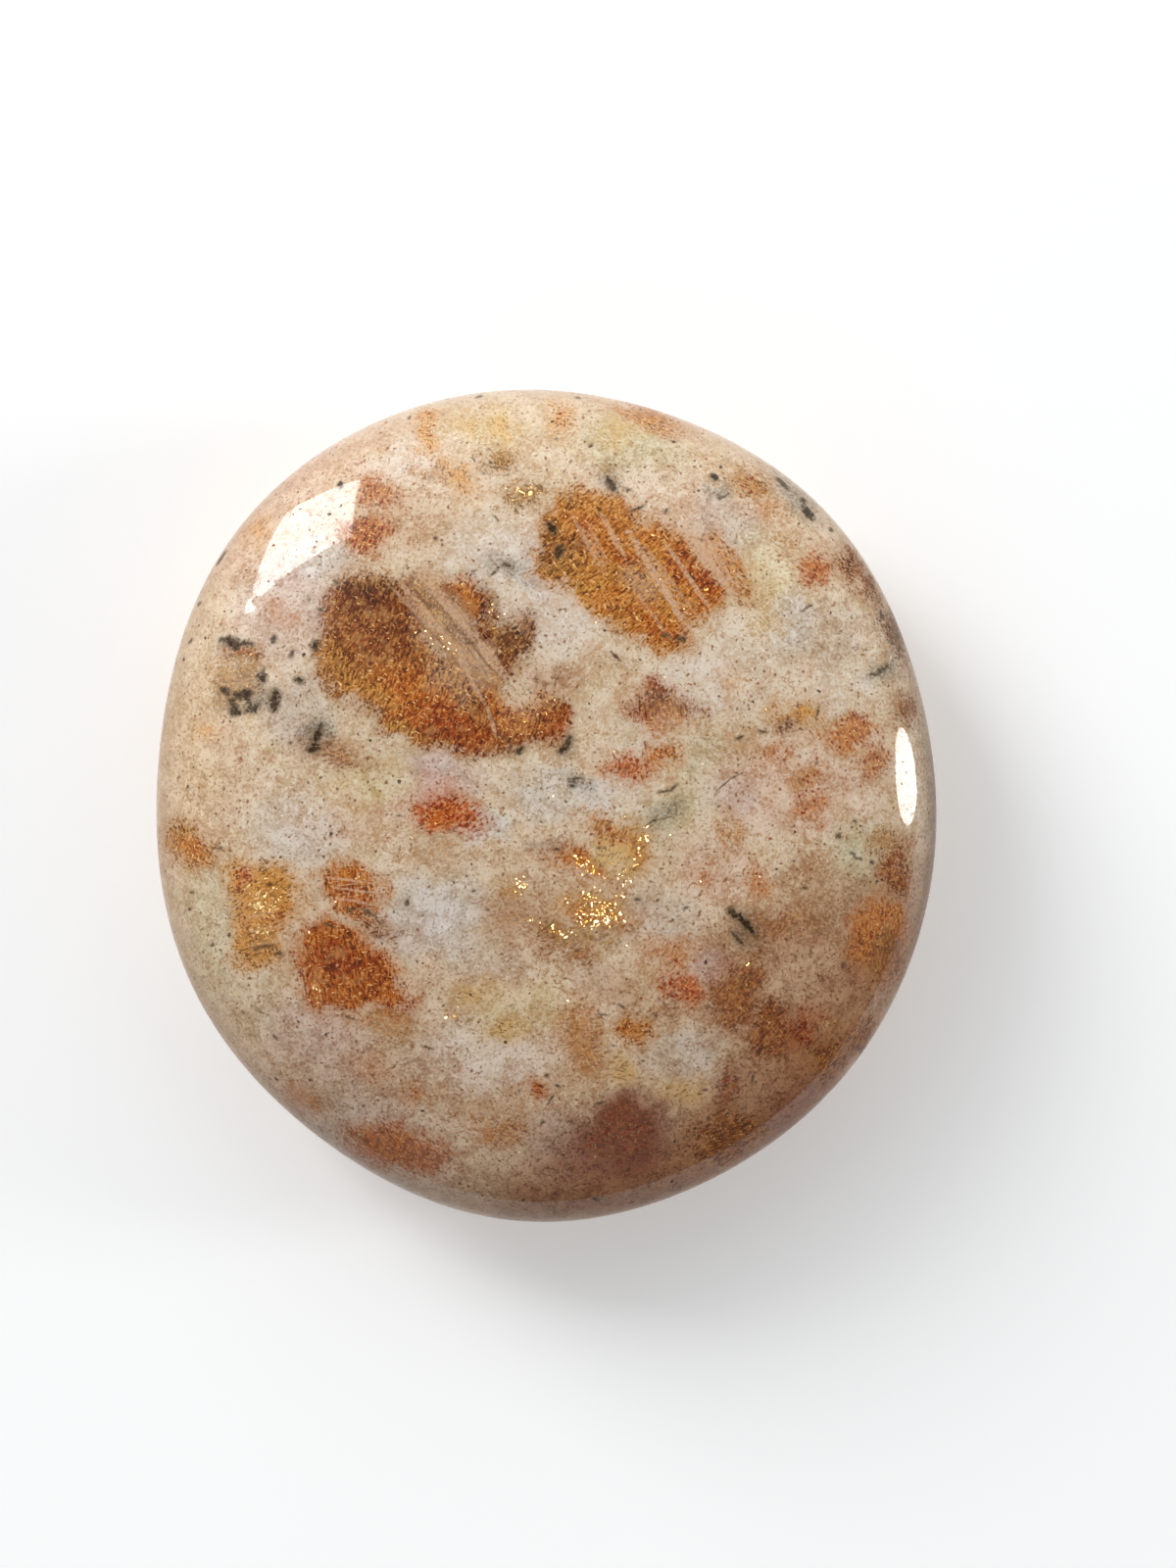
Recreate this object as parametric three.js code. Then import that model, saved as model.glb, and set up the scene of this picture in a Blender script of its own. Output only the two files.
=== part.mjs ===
// A palm stone of sunstone: one flat pebble of feldspar, ground to a rounded disc and polished
// all over. It is a single solid piece. Units are millimetres, +Z is up, and the origin is the
// middle of the underside, on which the stone lies.
import * as THREE from "three";
import { mergeVertices } from "three/addons/utils/BufferGeometryUtils.js";

// Driving dimensions. Heights are measured from the girdle, the level where the stone is widest.
const domeHeight = 7.6;
const footDepth = 7.4;

// How far the rim reaches from the stone's middle, one reach for every 22.5 degrees,
// anticlockwise from +X.
const rimReaches = [
  27.4, 27.6, 28.5, 28.8, 29.3, 29.6, 29.3, 28.1, 27.4, 27.8, 28.0, 28.6, 29.2, 28.7, 28.3, 27.8,
];

// The cross-section is a superellipse. A high power keeps the faces nearly flat up to the
// shoulders, and a power of about 2 makes the rim a full round, a little blunter on one side.
const facePower = 4;
const rimPower = 2.05;
const rimPowerSwing = 0.2;
const bluntSide = THREE.MathUtils.degToRad(-15);

// The belly would be deeper than the foot, so the foot is ground flat across it. The ground face
// rolls into the belly over a soft band instead of ending in an edge.
const groundAway = 0.8;
const bellyDepth = footDepth + groundAway;
const footBand = 0.8;

// The dome is thicker towards one side, and the polishing wheel has left broad low waves on it.
const dome = {
  slant: 0.028,
  thickSide: THREE.MathUtils.degToRad(118),
  waveHeight: 0.09,
  waveLengthX: 31,
  waveLengthY: 24,
  waveStartX: 0.8,
  waveStartY: 0.5,
};

// The girdle isn't quite level: it rises and falls twice on its way round.
const girdleSwing = 0.35;
const girdleTurn = THREE.MathUtils.degToRad(35);

// The skin starts as a box with finely divided faces. These are the divisions along its edges.
const divisions = { across: 28, along: 30, up: 16 };

// How the skin is searched for along a ray, and how near two corners are to count as one.
const furthestTry = 2;
const halvings = 40;
const sameCorner = 1e-4;

// One wave of the rim's curve, cut off by its neighbours: 1 at its own reach, 0 at all others.
function rimWave(away) {
  const count = rimReaches.length;
  const tangent = Math.tan(away / 2);
  if (Math.abs(tangent) < Number.EPSILON) return 1;
  return Math.sin((count * away) / 2) / (count * tangent);
}

// The rim's reach at any angle: the smooth closed curve that runs through every measured reach.
function reachAt(angle) {
  const step = (2 * Math.PI) / rimReaches.length;
  return rimReaches.reduce((sum, reach, i) => sum + reach * rimWave(angle - i * step), 0);
}

// Where a point is on the plain stone: its angle, how far out it is as a share of the rim's reach,
// and how far from the girdle it is as a share of the dome's or the belly's height.
function placeOf(point) {
  const angle = Math.atan2(point.y, point.x);
  const out = Math.hypot(point.x, point.y) / reachAt(angle);
  const level = Math.abs(point.z) / (point.z > 0 ? domeHeight : bellyDepth);
  return { angle, out, level };
}

// 1 on the skin of the plain stone, less inside it and more outside it.
function fullness(point) {
  const { angle, out, level } = placeOf(point);
  const power = rimPower + rimPowerSwing * Math.cos(angle - bluntSide);
  return out ** facePower + level ** power;
}

// Moves a point along its ray from the middle until it lies on the skin of the plain stone.
function drawOntoSkin(point) {
  let inside = 0;
  let outside = furthestTry;
  const tried = new THREE.Vector3();
  for (let i = 0; i < halvings; i++) {
    const middle = (inside + outside) / 2;
    tried.copy(point).multiplyScalar(middle);
    if (fullness(tried) < 1) inside = middle;
    else outside = middle;
  }
  point.multiplyScalar(inside);
}

// The higher of two levels, with the corner between them rounded over a band of the given width.
function softMax(a, b, band) {
  const overlap = Math.max(band - Math.abs(a - b), 0) / band;
  return Math.max(a, b) + (overlap * overlap * band) / 4;
}

// What grinding and polishing leave on the plain stone: a slanted, faintly waved dome, and a
// girdle that rises and falls.
function wearDown(point) {
  const { angle, out, level } = placeOf(point);
  if (point.z > 0) {
    const wave =
      Math.sin((2 * Math.PI * point.x) / dome.waveLengthX + dome.waveStartX) *
      Math.cos((2 * Math.PI * point.y) / dome.waveLengthY - dome.waveStartY);
    point.z *= 1 + dome.slant * out * Math.cos(angle - dome.thickSide);
    point.z += dome.waveHeight * wave * level * level;
  }
  point.z += girdleSwing * Math.cos(2 * (angle - girdleTurn)) * out * out * (1 - level) ** 2;
}

function stoneGeometry() {
  const box = new THREE.BoxGeometry(
    2 * reachAt(0),
    2 * reachAt(Math.PI / 2),
    domeHeight + bellyDepth,
    divisions.across,
    divisions.along,
    divisions.up,
  );
  box.deleteAttribute("normal");
  box.deleteAttribute("uv");

  const corners = box.getAttribute("position");
  const point = new THREE.Vector3();
  for (let i = 0; i < corners.count; i++) {
    point.fromBufferAttribute(corners, i);
    drawOntoSkin(point);
    wearDown(point);
    point.z = softMax(point.z, -footDepth, footBand);
    corners.setXYZ(i, point.x, point.y, point.z);
  }

  const skin = mergeVertices(box, sameCorner);
  skin.computeBoundingBox();
  const middle = skin.boundingBox.getCenter(new THREE.Vector3());
  skin.translate(-middle.x, -middle.y, -skin.boundingBox.min.z);
  skin.computeVertexNormals();
  return skin;
}

// Pale feldspar, flushed peach by the iron in it, with a wet-looking polish.
const polishedFeldspar = new THREE.MeshStandardMaterial({
  color: new THREE.Color(0.79, 0.7, 0.6),
  roughness: 0.18,
  metalness: 0,
});

const sunstone = new THREE.Mesh(stoneGeometry(), polishedFeldspar);
sunstone.name = "sunstone";

const palmStone = new THREE.Group();
palmStone.add(sunstone);

export default palmStone;
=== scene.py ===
# %% [markdown]
# # A sunstone palm stone
#
# This scene dresses one polished pebble of sunstone. Sunstone is a feldspar, a pale and slightly
# see-through mineral, in which thin plates of hematite have grown. Where the plates are crowded
# the stone is amber or rust red, and where one lies just right it flashes gold.
#
# The stone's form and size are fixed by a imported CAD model, the frame. The scene loads it first,
# and everything after it is measured from it.

# %% Load the frame
import math

import bpy
import numpy as np
from mathutils import Matrix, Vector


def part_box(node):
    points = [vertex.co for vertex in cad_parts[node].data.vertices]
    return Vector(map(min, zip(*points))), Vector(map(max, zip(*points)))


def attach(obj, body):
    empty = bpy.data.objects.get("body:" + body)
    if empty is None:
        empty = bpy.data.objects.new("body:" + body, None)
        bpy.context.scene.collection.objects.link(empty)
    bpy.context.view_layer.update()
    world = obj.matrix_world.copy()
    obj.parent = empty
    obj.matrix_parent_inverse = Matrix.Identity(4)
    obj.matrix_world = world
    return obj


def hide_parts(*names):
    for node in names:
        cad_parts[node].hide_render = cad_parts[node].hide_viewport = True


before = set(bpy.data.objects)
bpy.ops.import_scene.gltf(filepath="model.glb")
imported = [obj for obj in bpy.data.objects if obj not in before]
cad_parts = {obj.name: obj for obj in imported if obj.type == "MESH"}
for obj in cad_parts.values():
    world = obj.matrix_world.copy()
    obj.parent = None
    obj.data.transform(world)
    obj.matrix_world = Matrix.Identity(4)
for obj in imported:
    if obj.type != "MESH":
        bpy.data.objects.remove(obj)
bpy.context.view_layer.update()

MILLIMETRE = 0.001
stone_low, stone_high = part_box("sunstone")
print("The frame's stone in mm:", [round(side / MILLIMETRE, 2) for side in stone_high - stone_low])

# %% [markdown]
# ## Formulas as nodes
#
# Both the form and the finish are formulas, and Blender wants a formula as a tree of nodes. Wiring
# Math nodes one by one is hard to read, so a small helper does it: a `Wire` is a value on its way
# through a tree, and adding or multiplying wires adds the Math node that does the same.


# %% Wires and graphs
class Wire:
    """A value on its way through a node tree. Arithmetic on wires adds Math nodes."""

    def __init__(self, graph, socket):
        self.graph = graph
        self.socket = socket

    def __add__(self, other):
        return self.graph.maths("ADD", self, other)

    def __sub__(self, other):
        return self.graph.maths("SUBTRACT", self, other)

    def __rsub__(self, other):
        return self.graph.maths("SUBTRACT", other, self)

    def __mul__(self, other):
        return self.graph.maths("MULTIPLY", self, other)

    def __truediv__(self, other):
        return self.graph.maths("DIVIDE", self, other)

    def __rtruediv__(self, other):
        return self.graph.maths("DIVIDE", other, self)

    def __pow__(self, other):
        return self.graph.maths("POWER", self, other)

    __radd__ = __add__
    __rmul__ = __mul__


class Graph:
    """A node tree with short words for the nodes that are used most."""

    def __init__(self, tree):
        self.tree = tree

    def node(self, kind, inputs=None, **settings):
        """Adds a node, sets its properties and feeds its inputs, each by its name or number."""
        node = self.tree.nodes.new(kind)
        for name, value in settings.items():
            setattr(node, name, value)
        for key, value in (inputs or {}).items():
            if isinstance(value, Wire):
                self.tree.links.new(value.socket, node.inputs[key])
            else:
                node.inputs[key].default_value = value
        return node

    def wire(self, kind, output=0, inputs=None, **settings):
        """Adds a node and gives the wire that leaves its named or numbered output."""
        return Wire(self, self.node(kind, inputs, **settings).outputs[output])

    def maths(self, operation, *values):
        return self.wire("ShaderNodeMath", 0, dict(enumerate(values)), operation=operation)

    def vector_maths(self, operation, *values):
        output = "Value" if operation in ("LENGTH", "DISTANCE") else "Vector"
        slots = (0, 3) if operation == "SCALE" else (0, 1, 2)
        inputs = dict(zip(slots, values))
        return self.wire("ShaderNodeVectorMath", output, inputs, operation=operation)

    def parts(self, vector):
        """The x, y and z of a vector, as three wires."""
        node = self.node("ShaderNodeSeparateXYZ", {0: vector})
        return [Wire(self, output) for output in node.outputs]

    def vector(self, x, y, z):
        return self.wire("ShaderNodeCombineXYZ", 0, {0: x, 1: y, 2: z})

    def step(self, value, start, end):
        """0 before start, 1 after end, and a smooth rise between them. It may also run down."""
        inputs = {"Value": value, "From Min": start, "From Max": end}
        return self.wire("ShaderNodeMapRange", 0, inputs, interpolation_type="SMOOTHSTEP")

    def mix(self, share, a, b, blend="MIX"):
        """Colour a with a share of colour b."""
        inputs = {0: share, 6: a, 7: b}
        return self.wire("ShaderNodeMix", 2, inputs, data_type="RGBA", blend_type=blend)


def new_group(name, kind, inputs, outputs):
    """A node group with the given sockets: its graph, the wires of its inputs and its output node."""
    tree = bpy.data.node_groups.new(name, kind)
    for socket_name, (socket_type, value) in inputs.items():
        socket = tree.interface.new_socket(
            socket_name, in_out="INPUT", socket_type="NodeSocket" + socket_type
        )
        if value is not None:
            socket.default_value = value
    for socket_name, socket_type in outputs.items():
        tree.interface.new_socket(
            socket_name, in_out="OUTPUT", socket_type="NodeSocket" + socket_type
        )
    graph = Graph(tree)
    entry = graph.node("NodeGroupInput")
    given = {socket_name: Wire(graph, entry.outputs[socket_name]) for socket_name in inputs}
    return graph, given, graph.node("NodeGroupOutput")


def fill(graph, exit_node, **values):
    """Leads wires into a group's outputs, each by its name."""
    for name, wire in values.items():
        graph.tree.links.new(wire.socket, exit_node.inputs[name])


def number_inputs(values):
    """The input sockets of a group that takes these numbers, each with its usual value."""
    kinds = {int: "Int", float: "Float"}
    return {name: (kinds[type(value)], value) for name, value in values.items()}


# %% [markdown]
# ## The pebble's form
#
# The real stone was sawn, ground to a flat disc and tumbled until every edge was round. That can
# be put as a rule: the outline is one smooth closed wave, and the cross-section is a superellipse,
# nearly flat on its faces and full at its rim. A rule suits Geometry Nodes, because they can draw
# a very fine skin without a sculpted mesh. The numbers are the ones of the CAD model, in
# millimetres, so the fine skin lies exactly on it.
#
# A smooth closed curve through 16 points is a constant and 8 cosine waves. NumPy finds them.

# %% The numbers of the form
RIM_REACHES = (
    27.4, 27.6, 28.5, 28.8, 29.3, 29.6, 29.3, 28.1, 27.4, 27.8, 28.0, 28.6, 29.2, 28.7, 28.3, 27.8,
)
FORM = {
    "Dome Height": 7.6,
    "Foot Depth": 7.4,
    "Ground Away": 0.8,
    "Foot Band": 0.8,
    "Face Power": 4.0,
    "Rim Power": 2.05,
    "Rim Power Swing": 0.2,
    "Blunt Side": math.radians(-15),
    "Dome Slant": 0.028,
    "Thick Side": math.radians(118),
    "Wave Height": 0.09,
    "Wave Length X": 31.0,
    "Wave Length Y": 24.0,
    "Wave Start X": 0.8,
    "Wave Start Y": 0.5,
    "Girdle Swing": 0.35,
    "Girdle Turn": math.radians(35),
}
# The skin is spun from a cube: its top and bottom become the faces, its sides the rim. The cube
# reaches 1 to every side, give or take a rounding.
CUBE_SIDE = 2.0
ALMOST_ONE = 0.999999
FACE_DIVISIONS = 176
RIM_DIVISIONS = 46
SHOULDER_LEVEL = 0.8
PITS = {
    "Pits per Square": 0.018,
    "Smallest Pit": 0.35,
    "Largest Pit": 0.95,
    "Pit Depth": 0.028,
    "Pit Seed": 11,
}


# %% A node group for the rim's reach
def rim_group():
    """Angle in, the rim's distance from the middle out."""
    graph, given, exit_node = new_group(
        "Rim Reach", "GeometryNodeTree", {"Angle": ("Float", 0.0)}, {"Reach": "Float"}
    )
    count = len(RIM_REACHES)
    waves = np.fft.rfft(RIM_REACHES) / count
    reach = float(waves[0].real)
    for turns, wave in enumerate(waves[1:], start=1):
        height = abs(wave) * (1 if turns == count / 2 else 2)
        reach += graph.maths("COSINE", given["Angle"] * turns + float(np.angle(wave))) * height
    fill(graph, exit_node, Reach=reach)
    return graph.tree


# %% A node group for the skin
def skin_group(rim):
    """A closed skin of quads: the plain superellipse, then what grinding and polishing leave."""
    graph, given, exit_node = new_group(
        "Pebble Skin", "GeometryNodeTree", number_inputs(FORM), {"Geometry": "Geometry"}
    )
    maths = graph.maths
    cube = graph.wire(
        "GeometryNodeMeshCube",
        "Mesh",
        {
            "Size": (CUBE_SIDE,) * 3,
            "Vertices X": FACE_DIVISIONS + 1,
            "Vertices Y": FACE_DIVISIONS + 1,
            "Vertices Z": RIM_DIVISIONS + 1,
        },
    )
    x, y, z = graph.parts(graph.wire("GeometryNodeInputPosition"))
    share = maths("MAXIMUM", maths("ABSOLUTE", x), maths("ABSOLUTE", y))
    angle = maths("ARCTAN2", y, x)
    height_share = maths("ABSOLUTE", z)
    is_face = maths("GREATER_THAN", height_share, ALMOST_ONE)
    above = maths("GREATER_THAN", z, 0.0)

    power = given["Rim Power"] + given["Rim Power Swing"] * maths(
        "COSINE", angle - given["Blunt Side"]
    )
    face_power = given["Face Power"]
    shoulder_out = (1 - maths("POWER", SHOULDER_LEVEL, power)) ** (1 / face_power)
    face_out = shoulder_out * share
    face_level = (1 - face_out**face_power) ** (1 / power)
    rim_level = maths("SINE", height_share * math.asin(SHOULDER_LEVEL))
    rim_out = (1 - rim_level**power) ** (1 / face_power)
    out = rim_out + (face_out - rim_out) * is_face
    level = rim_level + (face_level - rim_level) * is_face

    reach_node = graph.node("GeometryNodeGroup", node_tree=rim)
    graph.tree.links.new(angle.socket, reach_node.inputs["Angle"])
    radius = out * Wire(graph, reach_node.outputs["Reach"])
    x = radius * maths("COSINE", angle)
    y = radius * maths("SINE", angle)
    belly = given["Foot Depth"] + given["Ground Away"]
    top = level * given["Dome Height"]
    wave_x = maths("SINE", x * math.tau / given["Wave Length X"] + given["Wave Start X"])
    wave_y = maths("COSINE", y * math.tau / given["Wave Length Y"] - given["Wave Start Y"])
    slant = given["Dome Slant"] * out * maths("COSINE", angle - given["Thick Side"])
    top = top * (1 + slant) + given["Wave Height"] * wave_x * wave_y * level * level
    z = top * above - level * belly * (1 - above)
    swing = given["Girdle Swing"] * maths("COSINE", (angle - given["Girdle Turn"]) * 2)
    z = z + swing * out * out * (1 - level) ** 2

    foot = 0 - given["Foot Depth"]
    band = given["Foot Band"]
    overlap = maths("MAXIMUM", band - maths("ABSOLUTE", z - foot), 0.0) / band
    z = maths("MAXIMUM", z, foot) + overlap * overlap * band / 4

    skin = graph.wire(
        "GeometryNodeSetPosition", 0, {"Geometry": cube, "Position": graph.vector(x, y, z)}
    )
    fill(graph, exit_node, Geometry=skin)
    return graph.tree


# %% [markdown]
# ### Pits
#
# Tumbling plucks a grain out here and there. Each pit is far too shallow to see by its own shade,
# but a window mirrored in the polish shows it. Geometry Nodes scatter the pits over the skin with
# a fixed seed and press the skin in around each of them.


# %% A node group for the pits
def pits_group():
    """Presses the skin in around points that are scattered over it."""
    inputs = {"Geometry": ("Geometry", None), **number_inputs(PITS)}
    graph, given, exit_node = new_group(
        "Polishing Pits", "GeometryNodeTree", inputs, {"Geometry": "Geometry"}
    )
    points = graph.wire(
        "GeometryNodeDistributePointsOnFaces",
        "Points",
        {"Mesh": given["Geometry"], "Density": given["Pits per Square"], "Seed": given["Pit Seed"]},
    )
    position = graph.wire("GeometryNodeInputPosition")
    radius = graph.wire(
        "FunctionNodeRandomValue",
        "Value",
        {"Min": given["Smallest Pit"], "Max": given["Largest Pit"], "Seed": given["Pit Seed"]},
    )
    nearest = graph.wire(
        "GeometryNodeSampleNearest", 0, {"Geometry": points, "Sample Position": position}
    )
    centre = graph.wire(
        "GeometryNodeSampleIndex",
        0,
        {"Geometry": points, "Value": position, "Index": nearest},
        data_type="FLOAT_VECTOR",
    )
    size = graph.wire(
        "GeometryNodeSampleIndex", 0, {"Geometry": points, "Value": radius, "Index": nearest}
    )
    away = graph.vector_maths("DISTANCE", position, centre) / size
    depth = graph.step(away, 1.0, 0.0) * given["Pit Depth"] * size
    inwards = graph.vector_maths("SCALE", graph.wire("GeometryNodeInputNormal"), 0 - depth)
    pressed = graph.wire(
        "GeometryNodeSetPosition", 0, {"Geometry": given["Geometry"], "Offset": inwards}
    )
    fill(graph, exit_node, Geometry=pressed)
    return graph.tree


# %% The whole tree of the palm stone
def palm_stone_tree():
    """Skin, pits, the stone's place on its foot, real instances and a material, in that order."""
    skin, pits = skin_group(rim_group()), pits_group()
    inputs = {
        "Geometry": ("Geometry", None),
        **number_inputs({**FORM, **PITS}),
        "Finish": ("Material", None),
    }
    graph, given, exit_node = new_group(
        "Palm Stone", "GeometryNodeTree", inputs, {"Geometry": "Geometry"}
    )
    plain = graph.wire("GeometryNodeGroup", 0, node_tree=skin)
    for name in FORM:
        graph.tree.links.new(given[name].socket, plain.socket.node.inputs[name])
    pitted = graph.wire("GeometryNodeGroup", 0, node_tree=pits)
    for name in PITS:
        graph.tree.links.new(given[name].socket, pitted.socket.node.inputs[name])
    graph.tree.links.new(plain.socket, pitted.socket.node.inputs["Geometry"])

    box = graph.node("GeometryNodeBoundBox", {"Geometry": plain})
    lowest = graph.parts(Wire(graph, box.outputs["Min"]))
    highest = graph.parts(Wire(graph, box.outputs["Max"]))
    half = -MILLIMETRE / 2
    place = graph.vector(
        (lowest[0] + highest[0]) * half, (lowest[1] + highest[1]) * half, lowest[2] * -MILLIMETRE
    )
    placed = graph.wire(
        "GeometryNodeTransform",
        0,
        {"Geometry": pitted, "Translation": place, "Scale": (MILLIMETRE,) * 3},
    )
    smooth = graph.wire("GeometryNodeSetShadeSmooth", 0, {"Geometry": placed})
    real = graph.wire("GeometryNodeRealizeInstances", 0, {"Geometry": smooth})
    inputs = {"Geometry": real, "Material": given["Finish"]}
    fill(graph, exit_node, Geometry=graph.wire("GeometryNodeSetMaterial", 0, inputs))
    return graph.tree


# %% Grow the stone
def grow(name, tree, values):
    """Runs a Geometry Nodes tree on an empty mesh and gives the result as a plain object."""
    seedling = bpy.data.objects.new(name + "_seedling", bpy.data.meshes.new(name))
    bpy.context.scene.collection.objects.link(seedling)
    modifier = seedling.modifiers.new("Grow", "NODES")
    modifier.node_group = tree
    for item in tree.interface.items_tree:
        if item.in_out == "INPUT" and item.name in values:
            modifier[item.identifier] = values[item.name]
    ready = seedling.evaluated_get(bpy.context.evaluated_depsgraph_get())
    grown = bpy.data.objects.new(name, bpy.data.meshes.new_from_object(ready))
    bpy.context.scene.collection.objects.link(grown)
    bpy.data.objects.remove(seedling)
    return grown


finish = bpy.data.materials.new("polished sunstone")
stone = grow("polished_sunstone", palm_stone_tree(), {**FORM, **PITS, "Finish": finish})
corners = np.zeros(len(stone.data.vertices) * 3)
stone.data.vertices.foreach_get("co", corners)
corners = corners.reshape(-1, 3) / MILLIMETRE
print(len(stone.data.polygons), "faces; box in mm:", np.ptp(corners, axis=0).round(3))

# %% [markdown]
# ## Where the camera stands
#
# The stone is seen from straight above, from a quarter of a metre. Where each marking goes was read
# from there, so the marks below are given as the camera sees them, in millimetres from the stone's
# middle on the level of the girdle. A point of the dome is nearer to the camera than the girdle
# and looks a little further out than it is.

# %% From true places to seen places
CAMERA_DISTANCE = 250.0
CAMERA_SPOT = np.array([2.93, 1.52])
GIRDLE = FORM["Foot Depth"]

nearness = CAMERA_DISTANCE / (CAMERA_DISTANCE - np.maximum(corners[:, 2] - GIRDLE, 0))
seen = CAMERA_SPOT + (corners[:, :2] - CAMERA_SPOT) * nearness[:, None]
print("The dome's top is seen", round((nearness.max() - 1) * 100, 1), "% larger")

# %% [markdown]
# ## The palette
#
# Colours are written as a painter would read them, in the 0 to 255 numbers of a screen, and are
# turned into the linear light that Blender works in.


# %% Pigments
def paint(*screen):
    """A screen colour as linear light."""
    shares = [value / 255 for value in screen]
    return [s / 12.92 if s <= 0.04045 else ((s + 0.055) / 1.055) ** 2.4 for s in shares]


PALETTE = {
    "dark umber": paint(96, 28, 2),
    "umber": paint(122, 54, 12),
    "smoky brown": paint(112, 70, 34),
    "rosy brown": paint(128, 60, 28),
    "amber brown": paint(144, 72, 18),
    "amber": paint(184, 92, 12),
    "orange": paint(192, 108, 32),
    "rust": paint(168, 70, 4),
    "deep rust": paint(158, 60, 3),
    "tan orange": paint(186, 116, 38),
    "peach": paint(220, 168, 108),
    "gold": paint(204, 142, 60),
    "ochre": paint(174, 118, 52),
    "olive": paint(154, 110, 44),
    "yellow": paint(222, 188, 122),
    "beige": paint(186, 148, 118),
    "rose": paint(178, 102, 52),
    "pink": paint(206, 150, 110),
    "red orange": paint(190, 85, 22),
    "brown": paint(148, 84, 30),
    "chestnut": paint(128, 54, 18),
    "cream": paint(214, 190, 160),
    "straw": paint(216, 198, 152),
    "sage": paint(198, 188, 154),
    "milk": paint(206, 194, 179),
    "snow": paint(208, 198, 187),
    "pearl": paint(224, 208, 190),
    "blush": paint(212, 178, 154),
    "mauve": paint(200, 176, 164),
    "ash": paint(188, 172, 158),
    "sand": paint(188, 152, 116),
    "fawn": paint(168, 124, 86),
    "dun": paint(158, 106, 62),
    "taupe": paint(150, 98, 72),
    "blossom": paint(210, 168, 150),
}

# %% [markdown]
# ## The markings
#
# The hematite plates lie in clouds. In each cloud they share one lean, so they cut the skin as
# parallel strokes. The largest clouds are drawn as outlines, point by point, and then toned from
# within: one tone row is pigment, place across, place up, half length, half width, turn in degrees
# and strength. A cloud's own strength, where it has one, lets the feldspar shine through.

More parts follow.
